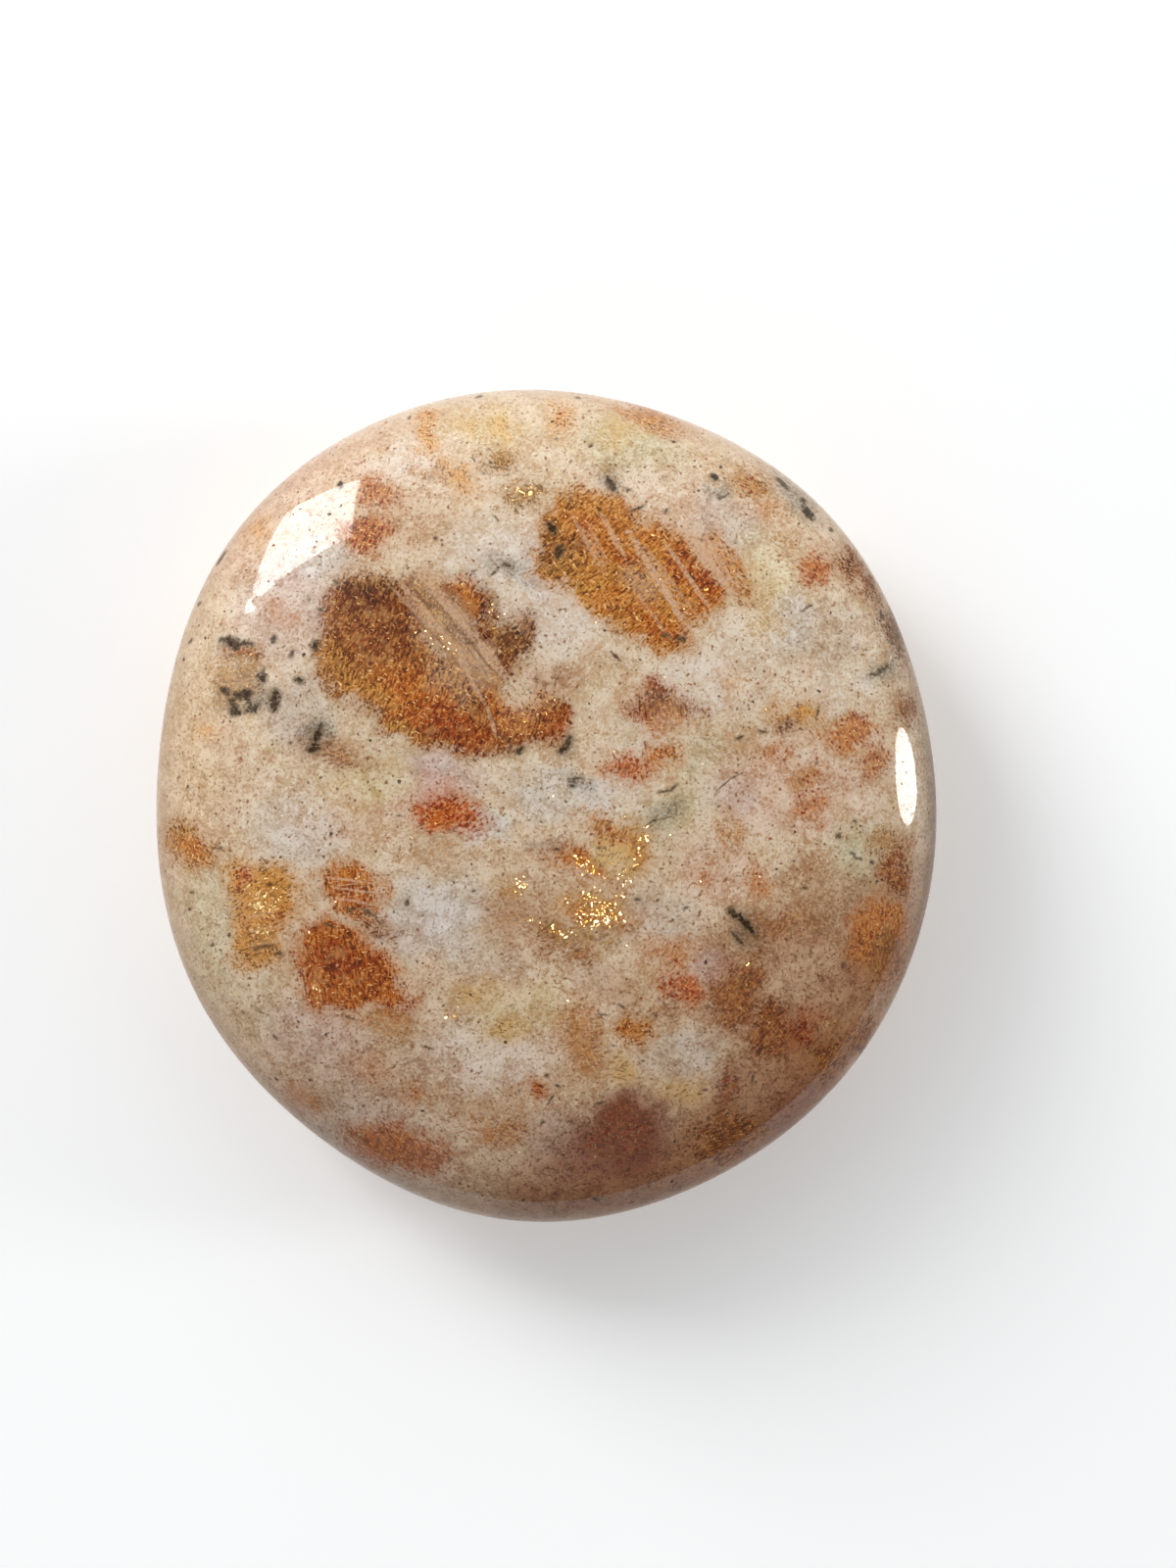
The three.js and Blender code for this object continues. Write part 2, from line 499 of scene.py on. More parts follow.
# %% Large clouds
CLOUDS = {
    "left band": {
        "lean": -50,
        "strength": 0.5,
        "pigment": "dun",
        "outline": [
            (-10.0, 16.4), (-8.6, 16.5), (-7.0, 15.6), (-5.8, 13.9), (-4.6, 12.0), (-3.6, 10.4),
            (-2.6, 8.8), (-3.4, 7.8), (-4.8, 8.4), (-6.4, 10.1), (-8.2, 11.6), (-9.3, 13.4),
            (-9.8, 15.0),
        ],
        "tones": [("beige", -5.2, 11.3, 3.2, 1.2, -54, 0.85)],
    },
    "left": {
        "lean": 68,
        "pigment": "amber brown",
        "outline": [
            (-15.2, 14.9), (-14.3, 16.0), (-12.6, 16.5), (-11.0, 16.2), (-9.9, 15.7), (-9.5, 14.3),
            (-9.2, 13.1), (-8.6, 11.9), (-7.6, 10.9), (-6.4, 10.2), (-5.5, 9.1), (-4.8, 8.6),
            (-3.6, 8.3), (-2.8, 7.6), (-1.4, 7.4), (0.2, 7.4), (1.3, 6.9), (1.6, 5.8), (1.0, 4.8),
            (-0.8, 4.3), (-2.6, 4.0), (-4.2, 3.9), (-6.4, 3.7), (-8.0, 3.9), (-9.6, 4.3),
            (-11.0, 5.0), (-11.9, 6.0), (-12.6, 7.2), (-13.5, 7.8), (-14.8, 7.9), (-15.8, 8.8),
            (-16.1, 10.2), (-15.8, 11.8), (-15.2, 13.0), (-15.5, 14.0),
        ],
        "tones": [
            ("ochre", -15.2, 10.4, 1.2, 2.2, 0, 0.55),
            ("smoky brown", -12.3, 15.7, 2.8, 0.8, -4, 0.75),
            ("dark umber", -12.3, 14.4, 2.3, 1.0, -4, 0.85),
            ("rosy brown", -11.9, 12.2, 2.4, 1.5, -8, 0.6),
            ("umber", -9.3, 14.7, 0.9, 0.8, -50, 0.7),
            ("orange", -10.2, 8.2, 2.6, 1.6, -30, 0.7),
            ("amber", -8.7, 7.2, 3.0, 1.8, -35, 0.8),
            ("beige", -6.3, 9.1, 2.2, 1.6, -50, 0.65),
            ("beige", -8.2, 11.2, 1.1, 0.8, -40, 0.45),
            ("rust", -7.4, 6.0, 2.2, 1.2, -20, 0.8),
            ("deep rust", -6.4, 5.4, 2.0, 0.9, -8, 0.9),
            ("umber", -6.4, 4.9, 2.0, 0.7, -8, 0.5),
            ("rust", -5.2, 4.8, 2.0, 0.9, 0, 0.6),
            ("amber", -3.6, 6.9, 0.8, 1.6, 10, 0.7),
            ("pink", -1.6, 7.3, 2.0, 0.9, 0, 0.55),
            ("rose", -2.0, 5.8, 1.5, 1.0, 0, 0.7),
            ("rust", 0.5, 5.6, 1.1, 0.9, 15, 0.6),
            ("gold", -12.6, 8.1, 2.6, 0.8, -28, 0.6),
            ("gold", -10.2, 5.1, 1.5, 0.6, -30, 0.7),
        ],
    },
    "left branch": {
        "lean": 52,
        "pigment": "umber",
        "outline": [
            (-7.3, 15.4), (-6.2, 16.0), (-4.9, 15.9), (-4.2, 15.2), (-3.8, 14.0), (-3.9, 12.9),
            (-3.0, 12.4), (-1.9, 13.1), (-1.3, 12.3), (-1.3, 11.0), (-1.9, 10.1), (-2.6, 9.3),
            (-3.4, 9.6), (-3.9, 10.8), (-4.8, 11.8), (-5.4, 13.0), (-6.1, 13.9), (-6.8, 14.5),
        ],
        "tones": [
            ("orange", -5.9, 15.3, 1.3, 0.9, -20, 0.85),
            ("amber", -5.4, 14.0, 0.8, 0.9, 0, 0.7),
            ("smoky brown", -2.6, 11.6, 1.3, 1.1, 0, 0.6),
            ("rosy brown", -2.8, 10.1, 0.9, 0.8, 0, 0.7),
            ("beige", -2.2, 12.6, 0.6, 0.5, 0, 0.6),
        ],
    },
    "right": {
        "lean": 42,
        "pigment": "tan orange",
        "outline": [
            (-0.9, 17.4), (-0.3, 18.6), (0.0, 19.9), (1.0, 20.5), (1.2, 22.0), (1.8, 22.8),
            (2.6, 22.7), (3.4, 22.1), (4.6, 21.8), (5.8, 21.3), (6.6, 20.5), (6.9, 19.6),
            (8.2, 19.1), (9.4, 18.7), (10.2, 18.1), (10.9, 17.2), (11.8, 16.3), (12.7, 15.3),
            (12.4, 14.4), (11.6, 13.6), (11.0, 13.1), (10.1, 13.1), (9.9, 12.2), (10.0, 11.1),
            (9.2, 10.6), (8.2, 10.9), (7.2, 11.5), (6.0, 12.0), (5.4, 12.9), (4.2, 13.0),
            (3.2, 13.6), (2.4, 14.4), (2.0, 15.4), (0.8, 15.5), (-0.3, 15.7), (-0.9, 16.4),
        ],
        "tones": [
            ("ochre", 0.8, 17.4, 1.9, 2.0, 0, 0.9),
            ("gold", 2.9, 14.6, 1.0, 1.3, 30, 0.8),
            ("orange", 3.6, 19.2, 2.6, 1.6, -10, 0.6),
            ("ochre", 1.9, 22.2, 0.9, 0.7, 0, 0.7),
            ("rust", 3.0, 20.1, 1.1, 0.5, 8, 0.8),
            ("rust", 5.5, 17.5, 1.1, 0.6, 10, 0.85),
            ("umber", 2.2, 18.2, 1.4, 0.7, 30, 0.75),
            ("umber", 0.2, 17.9, 0.8, 1.5, -20, 0.7),
            ("orange", 4.3, 14.5, 1.2, 0.7, 0, 0.8),
            ("beige", 6.6, 15.6, 1.8, 1.3, -45, 0.7),
            ("orange", 7.3, 18.6, 1.0, 0.6, -20, 0.7),
            ("orange", 7.2, 13.6, 1.9, 0.9, -20, 0.7),
            ("rust", 9.7, 16.8, 1.9, 1.0, -55, 0.9),
            ("amber", 10.7, 14.2, 1.1, 0.9, -30, 0.9),
            ("deep rust", 11.4, 15.8, 1.2, 0.6, -48, 0.95),
            ("amber", 11.9, 15.0, 0.7, 0.5, -48, 0.8),
            ("amber", 8.2, 12.4, 1.9, 1.0, -15, 0.9),
            ("umber", 9.4, 11.7, 0.7, 0.4, 10, 0.3),
        ],
    },
    "low left": {
        "lean": 99,
        "pigment": "amber",
        "outline": [
            (-17.3, -9.6), (-16.7, -8.7), (-15.0, -8.4), (-13.2, -8.7), (-12.4, -9.4),
            (-11.9, -10.3), (-11.0, -10.5), (-10.4, -11.6), (-10.0, -12.8), (-9.7, -14.0),
            (-10.2, -14.7), (-11.4, -14.3), (-12.4, -13.7), (-13.4, -14.0), (-14.4, -14.4),
            (-15.8, -14.3), (-16.7, -13.6), (-17.3, -12.4), (-17.5, -11.0),
        ],
        "tones": [
            ("deep rust", -14.6, -11.0, 2.0, 1.1, -10, 0.95),
            ("rust", -12.6, -11.4, 1.6, 0.9, -40, 0.6),
            ("orange", -10.4, -11.2, 0.8, 0.9, 0, 0.6),
        ],
    },
    "woven": {
        "lean": 96,
        "pigment": "orange",
        "outline": [
            (-15.8, -4.7), (-14.2, -4.2), (-12.9, -4.6), (-11.9, -5.4), (-11.6, -6.4),
            (-12.0, -7.2), (-13.0, -7.4), (-14.6, -7.3), (-15.1, -6.4),
        ],
        "tones": [("rust", -13.4, -6.2, 1.6, 0.8, -20, 0.8)],
    },
    "golden": {
        "lean": 18,
        "pigment": "gold",
        "outline": [
            (-22.6, -4.4), (-21.4, -4.1), (-20.6, -4.9), (-19.4, -4.5), (-18.0, -4.7),
            (-17.3, -5.8), (-17.0, -7.4), (-17.5, -8.1), (-18.6, -8.3), (-18.8, -9.4),
            (-18.4, -10.4), (-19.3, -11.2), (-21.0, -11.3), (-22.0, -10.6), (-22.2, -9.4),
            (-21.9, -8.2), (-21.9, -7.0), (-22.5, -6.0),
        ],
        "tones": [
            ("red orange", -21.3, -5.2, 0.6, 0.8, 0, 0.9),
            ("orange", -18.8, -7.7, 1.6, 0.7, 0, 0.6),
            ("ochre", -20.2, -9.6, 1.6, 1.2, 0, 0.5),
            ("peach", -21.2, -7.4, 0.9, 1.2, 0, 0.5),
        ],
    },
    "rim orange": {
        "lean": -30,
        "pigment": "ochre",
        "outline": [
            (-26.3, -1.2), (-25.0, -1.3), (-24.2, -2.2), (-23.3, -2.8), (-23.2, -3.6),
            (-24.2, -4.1), (-25.6, -3.8), (-26.7, -3.0),
        ],
        "tones": [("amber", -24.8, -2.9, 1.2, 0.8, -20, 0.6)],
    },
}

# %% [markdown]
# The smaller clouds are single ellipses. One row is: pigment, place across, place up, half length,
# half width, turn in degrees, strength.

# %% Flecks
FLECKS = [
    ("rose", -12.6, 19.2, 1.9, 1.3, -5, 0.95),
    ("rose", -11.6, 22.0, 1.5, 0.9, -15, 0.8),
    ("peach", -8.2, 26.9, 0.7, 0.9, 20, 0.75),
    ("peach", -7.8, 25.8, 0.6, 0.9, -25, 0.8),
    ("peach", -6.4, 23.4, 1.4, 0.6, -42, 0.9),
    ("yellow", -3.1, 26.5, 0.9, 1.2, 0, 0.6),
    ("olive", -3.2, 24.2, 0.8, 0.7, 0, 0.85),
    ("yellow", -5.4, 26.6, 1.2, 0.9, 0, 0.3),
    ("olive", -1.4, 21.8, 1.0, 0.7, 0, 0.8),
    ("ochre", -8.5, 23.5, 0.9, 0.5, 0, 0.45),
    ("peach", 1.0, 27.4, 0.6, 1.0, 0, 0.75),
    ("yellow", 5.0, 26.3, 1.3, 0.9, 0, 0.3),
    ("tan orange", 7.2, 27.3, 1.8, 0.6, -18, 0.8),
    ("olive", 4.4, 23.6, 0.9, 0.5, 0, 0.3),
    ("ochre", 14.5, 22.6, 1.0, 0.7, 0, 0.8),
    ("tan orange", 15.5, 20.8, 1.0, 0.7, 0, 0.5),
    ("tan orange", 12.9, 16.8, 2.1, 0.9, -60, 0.9),
    ("amber", 19.1, 16.7, 1.2, 0.9, 20, 0.8),
    ("brown", 21.5, 16.8, 1.1, 0.7, -40, 1.0),
    ("brown", 22.4, 15.4, 0.7, 1.0, 30, 0.95),
    ("ochre", 16.8, 18.3, 0.8, 0.5, 0, 0.4),
    ("yellow", 15.7, 12.7, 1.0, 0.7, 0, 0.35),
    ("peach", 13.2, 8.7, 0.8, 0.5, 0, 0.3),
    ("rust", 8.2, 6.9, 2.1, 1.4, -10, 0.95),
    ("umber", 8.6, 7.1, 1.5, 0.7, -8, 0.8),
    ("orange", 8.2, 5.7, 1.0, 0.7, 20, 0.5),
    ("gold", 17.6, 6.2, 1.3, 0.7, 0, 0.8),
    ("umber", 16.7, 5.4, 0.6, 0.4, 0, 0.8),
    ("orange", 21.5, 5.1, 2.2, 0.9, 3, 0.75),
    ("orange", 16.2, 3.8, 0.7, 0.5, 0, 0.6),
    ("ochre", 13.2, 4.8, 1.9, 0.9, 0, 0.2),
    ("rose", 23.2, 3.1, 0.9, 0.8, 0, 0.7),
    ("smoky brown", 24.3, 12.4, 1.8, 0.8, -65, 0.8),
    ("brown", 25.3, 6.8, 1.0, 0.8, 80, 0.75),
    ("amber brown", -21.4, 10.5, 0.9, 0.7, 0, 0.95),
    ("orange", -18.7, 13.2, 1.0, 0.6, -40, 0.3),
    ("olive", -21.8, 8.6, 1.4, 1.5, 0, 0.45),
    ("peach", -20.3, 19.4, 1.0, 0.8, 60, 0.6),
    ("brown", -14.8, 3.5, 1.8, 0.7, -12, 0.6),
    ("peach", -24.0, 5.2, 0.6, 0.4, 0, 0.5),
    ("amber brown", -12.8, -7.6, 1.5, 0.45, -28, 0.9),
    ("red orange", -7.2, -0.9, 2.3, 1.4, -10, 0.95),
    ("beige", -7.0, -3.2, 2.2, 0.8, -5, 0.3),
    ("red orange", 5.6, 2.7, 1.2, 0.8, -5, 0.8),
    ("orange", 7.8, 3.6, 1.1, 0.5, 10, 0.85),
    ("orange", 2.8, -4.2, 2.0, 0.8, -14, 0.9),
    ("yellow", 5.2, -2.9, 1.8, 1.7, 0, 0.6),
    ("tan orange", 4.2, -1.6, 1.4, 0.7, -10, 0.7),
    ("gold", 6.4, -3.0, 0.7, 1.2, 0, 0.7),
    ("gold", 3.8, -7.5, 2.2, 1.3, -15, 0.7),
    ("rust", 3.8, -8.1, 1.0, 0.35, -15, 0.8),
    ("olive", 0.9, -9.2, 1.6, 0.7, -12, 0.75),
    ("olive", 3.0, -9.1, 1.8, 0.6, 0, 0.4),
    ("brown", 0.2, -10.0, 0.5, 0.8, 0, 0.7),
    ("brown", 2.3, -10.5, 0.8, 0.6, 0, 0.7),
    ("ochre", -2.3, -6.1, 0.8, 0.9, 0, 0.5),
    ("ochre", -2.5, -7.6, 1.0, 0.9, 0, 0.5),
    ("beige", -2.5, -8.0, 1.7, 1.3, 0, 0.35),
    ("orange", 8.6, -10.6, 1.4, 1.0, 0, 0.45),
    ("tan orange", 18.6, 1.9, 1.0, 0.7, 0, 0.45),
    ("orange", 18.8, 0.0, 0.9, 1.0, 0, 0.45),
    ("tan orange", 12.9, -1.9, 0.6, 0.9, 0, 0.5),
    ("orange", 14.9, -5.1, 0.7, 1.0, 0, 0.5),
    ("orange", 11.2, -5.4, 0.35, 0.6, 0, 0.6),
    ("amber brown", 24.4, -4.3, 0.9, 1.6, 0, 0.9),
    ("ochre", 23.5, -2.6, 0.7, 0.5, 0, 0.6),
    ("orange", 23.3, -9.2, 2.4, 2.3, 10, 0.75),
    ("brown", 24.2, -11.0, 1.4, 1.8, 0, 0.7),
    ("brown", 16.0, -8.4, 2.1, 0.9, 0, 0.5),
    ("brown", 19.2, -9.0, 1.5, 0.9, 0, 0.3),
    ("red orange", 9.9, -13.0, 1.5, 0.9, -20, 0.75),
    ("brown", 8.2, -14.3, 0.9, 0.5, 0, 0.6),
    ("amber brown", 13.3, -13.2, 1.4, 2.4, -20, 0.7),
    ("amber brown", 15.9, -15.9, 1.7, 1.8, 0, 0.85),
    ("deep rust", 18.2, -15.8, 0.7, 1.3, -35, 0.95),
    ("brown", 19.8, -17.7, 1.0, 1.6, 0, 0.85),
    ("brown", 21.9, -16.2, 0.8, 1.4, -35, 0.85),
    ("tan orange", 6.2, -15.8, 1.1, 1.0, 0, 0.9),
    ("yellow", 5.2, -18.6, 0.9, 0.9, 0, 0.6),
    ("yellow", 9.6, -20.2, 1.1, 0.5, 0, 0.8),
    ("rosy brown", 12.9, -19.8, 0.9, 1.2, 0, 0.7),
    ("brown", 12.6, -23.3, 2.6, 1.9, 10, 0.9),
    ("umber", 5.4, -23.0, 2.3, 1.9, 0, 0.4),
    ("tan orange", 2.6, -16.5, 1.2, 2.2, 10, 0.5),
    ("ochre", -10.3, -15.8, 1.6, 1.0, 0, 0.2),
    ("tan orange", -12.0, -14.9, 1.6, 0.7, 0, 0.4),
    ("orange", -12.4, -18.1, 0.9, 0.6, 0, 0.3),
    ("orange", -9.2, -20.6, 0.5, 0.4, 0, 0.8),
    ("yellow", -3.0, -15.8, 0.7, 0.45, 15, 0.9),
    ("yellow", -5.4, -13.3, 0.8, 0.5, 0, 0.6),
    ("amber", -0.9, -19.9, 0.5, 0.5, 0, 1.0),
    ("ochre", -4.6, -21.0, 2.3, 0.7, -5, 0.2),
    ("tan orange", -3.2, -22.7, 1.8, 0.8, -10, 0.6),
    ("amber", -10.4, -24.2, 3.4, 1.7, -14, 0.7),
    ("orange", -17.0, -20.4, 1.4, 0.8, -40, 0.3),
]
print(len(CLOUDS), "large clouds and", len(FLECKS), "flecks")

# %% [markdown]
# The feldspar between the clouds isn't one colour either: milky here, yellowish or pink there,
# and tan towards the lower right. The tan washes towards the lower right and the lower end, and
# the sand wash on the left rim, are partly painted shade: they darken where less light falls,
# besides the stone's own tan. These washes have soft edges. The rows are like those above.

# %% Washes
WASHES = [
    ("blush", -18.0, 22.0, 9.0, 4.0, 40, 0.6),
    ("mauve", -18.0, 14.0, 4.0, 4.0, 0, 0.7),
    ("snow", -16.0, 17.4, 2.8, 1.4, 10, 0.8),
    ("straw", -25.0, 4.5, 2.6, 6.0, 0, 0.2),
    ("sand", -24.0, 2.0, 3.4, 9.0, 0, 0.35),
    ("sage", -23.5, -7.0, 2.4, 4.0, 0, 0.5),
    ("snow", -17.5, -1.6, 3.4, 2.6, 0, 0.6),
    ("ash", -17.4, 6.6, 2.6, 2.6, 0, 0.6),
    ("straw", -14.0, 0.8, 3.2, 1.6, 10, 0.6),
    ("blush", -14.0, -0.5, 5.0, 2.0, 0, 0.4),
    ("snow", -8.0, -7.6, 4.0, 3.0, 10, 0.9),
    ("snow", -4.6, -1.3, 2.0, 1.3, 0, 0.9),
    ("mauve", -8.0, 2.0, 4.0, 1.6, 0, 0.9),
    ("blossom", -7.6, 1.0, 2.2, 1.0, 0, 0.9),
    ("milk", 0.5, 0.8, 3.4, 1.8, 0, 0.7),
    ("snow", 3.2, 1.0, 1.8, 1.2, 0, 0.8),
    ("pearl", -4.0, 18.0, 3.4, 2.8, 0, 1.0),
    ("pearl", 0.3, 13.2, 3.2, 2.8, 0, 0.95),
    ("beige", 0.3, 8.9, 2.2, 1.3, 0, 0.7),
    ("pearl", 10.2, 8.4, 2.8, 2.0, 0, 0.8),
    ("pearl", 5.0, 0.8, 1.8, 1.3, 0, 0.7),
    ("sand", -9.0, 20.0, 2.8, 2.2, 0, 0.4),
    ("straw", -11.0, 2.0, 2.2, 1.6, 0, 0.6),
    ("snow", -1.0, 16.4, 1.0, 2.6, 0, 0.6),
    ("straw", -4.0, 26.0, 3.6, 1.6, 0, 0.35),
    ("pearl", -9.0, 24.6, 3.2, 1.7, 25, 0.8),
    ("cream", -2.0, 23.0, 6.0, 3.0, 0, 0.6),
    ("sage", 6.0, 25.0, 4.4, 2.2, -20, 0.7),
    ("blush", 9.0, 21.0, 3.4, 2.2, -30, 0.5),
    ("ash", 13.0, 19.8, 3.0, 2.0, -40, 0.6),
    ("straw", 15.6, 16.4, 2.0, 3.0, 0, 0.5),
    ("snow", 17.4, 12.6, 1.6, 2.2, 0, 0.8),
    ("ash", 20.0, 12.0, 2.4, 2.4, 0, 0.4),
    ("pearl", 14.0, 11.4, 3.0, 2.2, 0, 0.4),
    ("pearl", 20.8, 8.2, 2.6, 1.8, 0, 0.5),
    ("snow", 7.0, 5.0, 2.0, 1.4, 0, 0.3),
    ("sage", 11.4, 3.0, 1.8, 2.0, 0, 0.6),
    ("blush", 17.0, 1.0, 6.4, 3.2, 0, 0.8),
    ("mauve", 13.0, 0.8, 1.8, 1.4, 0, 0.5),
    ("blush", 12.0, -4.6, 3.4, 2.4, 0, 0.6),
    ("sage", 22.0, -3.8, 2.2, 2.4, 0, 0.9),
    ("sand", 19.0, -6.0, 3.4, 2.4, 0, 0.8),
    ("sage", 9.0, -0.4, 3.0, 1.6, 20, 0.5),
    ("ash", 7.6, -7.8, 2.8, 2.0, 0, 0.5),
    ("mauve", 11.8, -11.2, 1.9, 1.3, 0, 0.9),
    ("milk", 3.3, -12.2, 1.6, 1.1, -20, 0.4),
    ("beige", 5.6, -13.2, 1.6, 1.2, 0, 0.5),
    ("fawn", 17.6, -12.6, 7.0, 5.0, 30, 0.6),
    ("fawn", 24.0, -9.0, 3.6, 6.4, -10, 0.65),
    ("dun", 23.8, -9.6, 2.6, 3.6, -10, 0.35),
    ("fawn", 15.0, -20.6, 8.0, 3.6, 35, 0.9),
    ("dun", 18.6, -18.6, 5.6, 1.8, 48, 0.5),
    ("milk", 9.4, -17.4, 2.8, 1.7, 0, 0.7),
    ("sand", 6.0, -26.0, 12.0, 3.0, 8, 0.8),
    ("dun", 6.0, -26.6, 10.0, 2.6, 10, 0.85),
    ("dun", 20.8, -14.6, 6.5, 2.6, 60, 0.45),
    ("dun", 14.0, -9.0, 4.0, 2.0, 10, 0.4),
    ("taupe", 17.6, -21.4, 5.4, 2.4, 45, 0.7),
    ("dun", 13.4, -12.8, 1.6, 2.6, 0, 0.2),
    ("ash", 0.0, -23.0, 2.0, 1.6, 0, 0.6),
    ("mauve", -16.4, -16.4, 4.4, 2.4, -20, 0.6),
    ("sage", -22.0, -13.0, 3.0, 4.0, 40, 0.4),
    ("sage", -6.4, -17.4, 4.0, 2.2, 0, 0.6),
    ("pearl", -4.8, -17.8, 5.0, 2.6, 5, 0.9),
    ("straw", -1.6, -14.2, 3.8, 2.0, 0, 0.5),
    ("milk", -5.0, -10.4, 3.4, 1.8, 0, 0.5),
    ("sand", -11.0, -19.0, 5.0, 2.4, 0, 0.5),
    ("ash", -13.0, -23.0, 7.0, 3.6, -30, 0.6),
    ("chestnut", 5.4, -23.2, 3.4, 2.9, 0, 0.95),
    ("chestnut", 6.6, -20.8, 2.0, 1.3, 0, 0.4),
    ("taupe", 2.0, -24.4, 3.2, 1.8, 10, 0.6),
    ("sand", -1.2, -7.4, 3.4, 2.8, 0, 0.6),
    ("pearl", 14.0, 8.2, 2.2, 1.8, 0, 0.4),
    ("cream", 7.6, 21.6, 1.8, 1.3, 0, 0.4),
    ("sand", 4.6, -12.4, 2.2, 1.4, 0, 0.5),
]

# %% [markdown]
# Pale seams cross the clouds, where clear feldspar split them, and brown scratches run beside
# some of them. One row is: start across and up, end across and up, half width, strength.

# %% Seams and scratches
SEAMS = [
    (-11.3, 15.8, -6.4, 10.6, 0.13, 0.6),
    (-6.4, 10.6, -4.2, 7.0, 0.15, 0.8),
    (-4.2, 7.0, -3.5, 4.7, 0.14, 0.8),
    (-10.4, 15.9, -5.3, 9.9, 0.15, 0.7),
    (-9.3, 16.8, -5.2, 12.1, 0.34, 0.9),
    (-5.2, 12.1, -2.8, 8.9, 0.36, 0.85),
    (-8.2, 16.3, -4.9, 12.2, 0.14, 0.5),
    (1.7, 20.6, 4.0, 16.4, 0.17, 0.6),
    (3.0, 19.8, 4.3, 17.0, 0.12, 0.5),
    (3.7, 20.7, 5.6, 17.4, 0.2, 0.75),
    (5.7, 19.4, 10.2, 12.1, 0.28, 1.0),
    (7.0, 18.3, 10.9, 12.9, 0.12, 0.5),
    (8.2, 18.7, 11.7, 13.6, 0.17, 0.85),
    (9.4, 19.6, 13.0, 15.1, 0.43, 1.0),
    (11.0, 19.2, 13.7, 14.8, 0.17, 0.8),
    (12.3, 18.4, 14.0, 15.4, 0.12, 0.5),
    (6.2, 15.2, 9.0, 11.3, 0.12, 0.5),
    (-24.9, -4.0, -23.6, -7.4, 0.07, 1.0),
    (-15.7, -5.0, -12.1, -5.5, 0.1, 0.8),
    (-15.3, -5.7, -11.9, -6.2, 0.1, 0.8),
    (-15.2, -6.4, -12.0, -7.0, 0.1, 0.7),
    (-22.0, -8.1, -18.0, -7.2, 0.1, 0.6),
    (-22.0, -9.2, -18.4, -8.3, 0.1, 0.6),
    (-22.0, -10.2, -18.8, -9.4, 0.1, 0.5),
]
SCRATCHES = [
    (-10.9, 15.4, -8.7, 12.9, 0.12, 0.7),
    (-9.8, 15.9, -7.9, 13.5, 0.12, 0.7),
    (-8.7, 15.9, -6.6, 13.3, 0.09, 0.6),
    (-8.5, 12.7, -6.7, 10.7, 0.09, 0.6),
    (-7.4, 13.0, -5.7, 10.9, 0.08, 0.5),
    (-8.6, 15.6, -5.6, 11.5, 0.1, 0.7),
    (-7.4, 15.4, -4.4, 11.2, 0.09, 0.7),
    (-6.0, 12.4, -3.7, 9.3, 0.1, 0.6),
    (-5.0, 8.7, -3.9, 6.2, 0.11, 0.7),
    (-3.8, 6.4, -3.0, 4.5, 0.12, 0.8),
    (-3.0, 5.2, -2.4, 4.0, 0.1, 0.6),
    (9.9, 18.7, 12.5, 15.6, 0.07, 0.5),
    (4.6, 10.8, 5.2, 10.2, 0.12, 0.9),
]

# %% [markdown]
# Some marks are no clouds: clusters of fine red dots, smoky shadows, places where gold flashes
# are crowded, and splinters and grains of a green-black mineral. One row is: place across, place
# up, half length, half width, turn in degrees.

# %% Dots, smoke and flashes
RED_DOTS = [
    (-7.2, -0.9, 2.3, 1.4, -10),
    (-21.4, -5.1, 0.8, 0.8, 0),
    (-11.6, 22.1, 1.4, 0.8, -15),
    (-12.6, 19.0, 1.6, 1.1, 0),
    (-8.0, 26.3, 0.9, 1.3, 20),
    (1.0, 27.4, 0.5, 0.9, 0),
    (14.4, 22.6, 0.9, 0.6, 0),
    (19.1, 16.7, 1.1, 0.8, 20),
    (21.5, 5.1, 1.8, 0.9, 3),
    (5.6, 2.7, 1.2, 0.8, -5),
    (4.6, -2.0, 1.6, 0.9, 10),
    (18.8, 1.0, 1.0, 1.9, 0),
    (23.3, 3.2, 0.8, 0.7, 0),
    (9.7, -12.9, 1.6, 0.9, -20),
    (8.6, -10.6, 1.3, 0.9, 0),
    (6.2, -15.8, 1.0, 0.9, 0),
    (18.2, -15.8, 0.6, 1.1, -35),
    (23.4, -8.6, 1.2, 0.9, 10),
    (12.8, -20.0, 0.7, 0.9, 0),
    (-12.5, -18.2, 0.9, 0.5, 0),
    (-9.2, -20.7, 0.4, 0.3, 0),
    (5.2, -23.4, 2.0, 1.6, 0),
    (14.9, -5.1, 0.6, 0.9, 0),
]
SMOKE = [
    (-16.0, 4.8, 1.3, 1.2, 60),
    (-20.9, 7.6, 1.9, 1.0, 0),
    (-22.0, 11.3, 0.9, 0.5, 0),
    (1.3, 4.2, 0.9, 0.7, 50),
    (-1.9, 4.0, 0.5, 0.4, 0),
    (4.6, 22.6, 0.9, 0.6, -40),
    (0.7, 18.5, 0.6, 1.2, 10),
    (13.9, -8.6, 1.1, 0.9, -50),
    (17.4, 21.8, 2.0, 0.7, -45),
    (2.0, 1.7, 0.8, 0.5, 0),
    (8.2, -0.8, 1.6, 0.6, 20),
    (23.6, 9.6, 1.2, 0.9, 40),
    (12.2, 22.4, 0.9, 0.8, 0),
    (-2.7, 16.7, 1.2, 0.5, -20),
    (0.5, -3.0, 1.0, 0.4, -20),
    (-3.6, 14.2, 0.4, 0.9, 20),
]
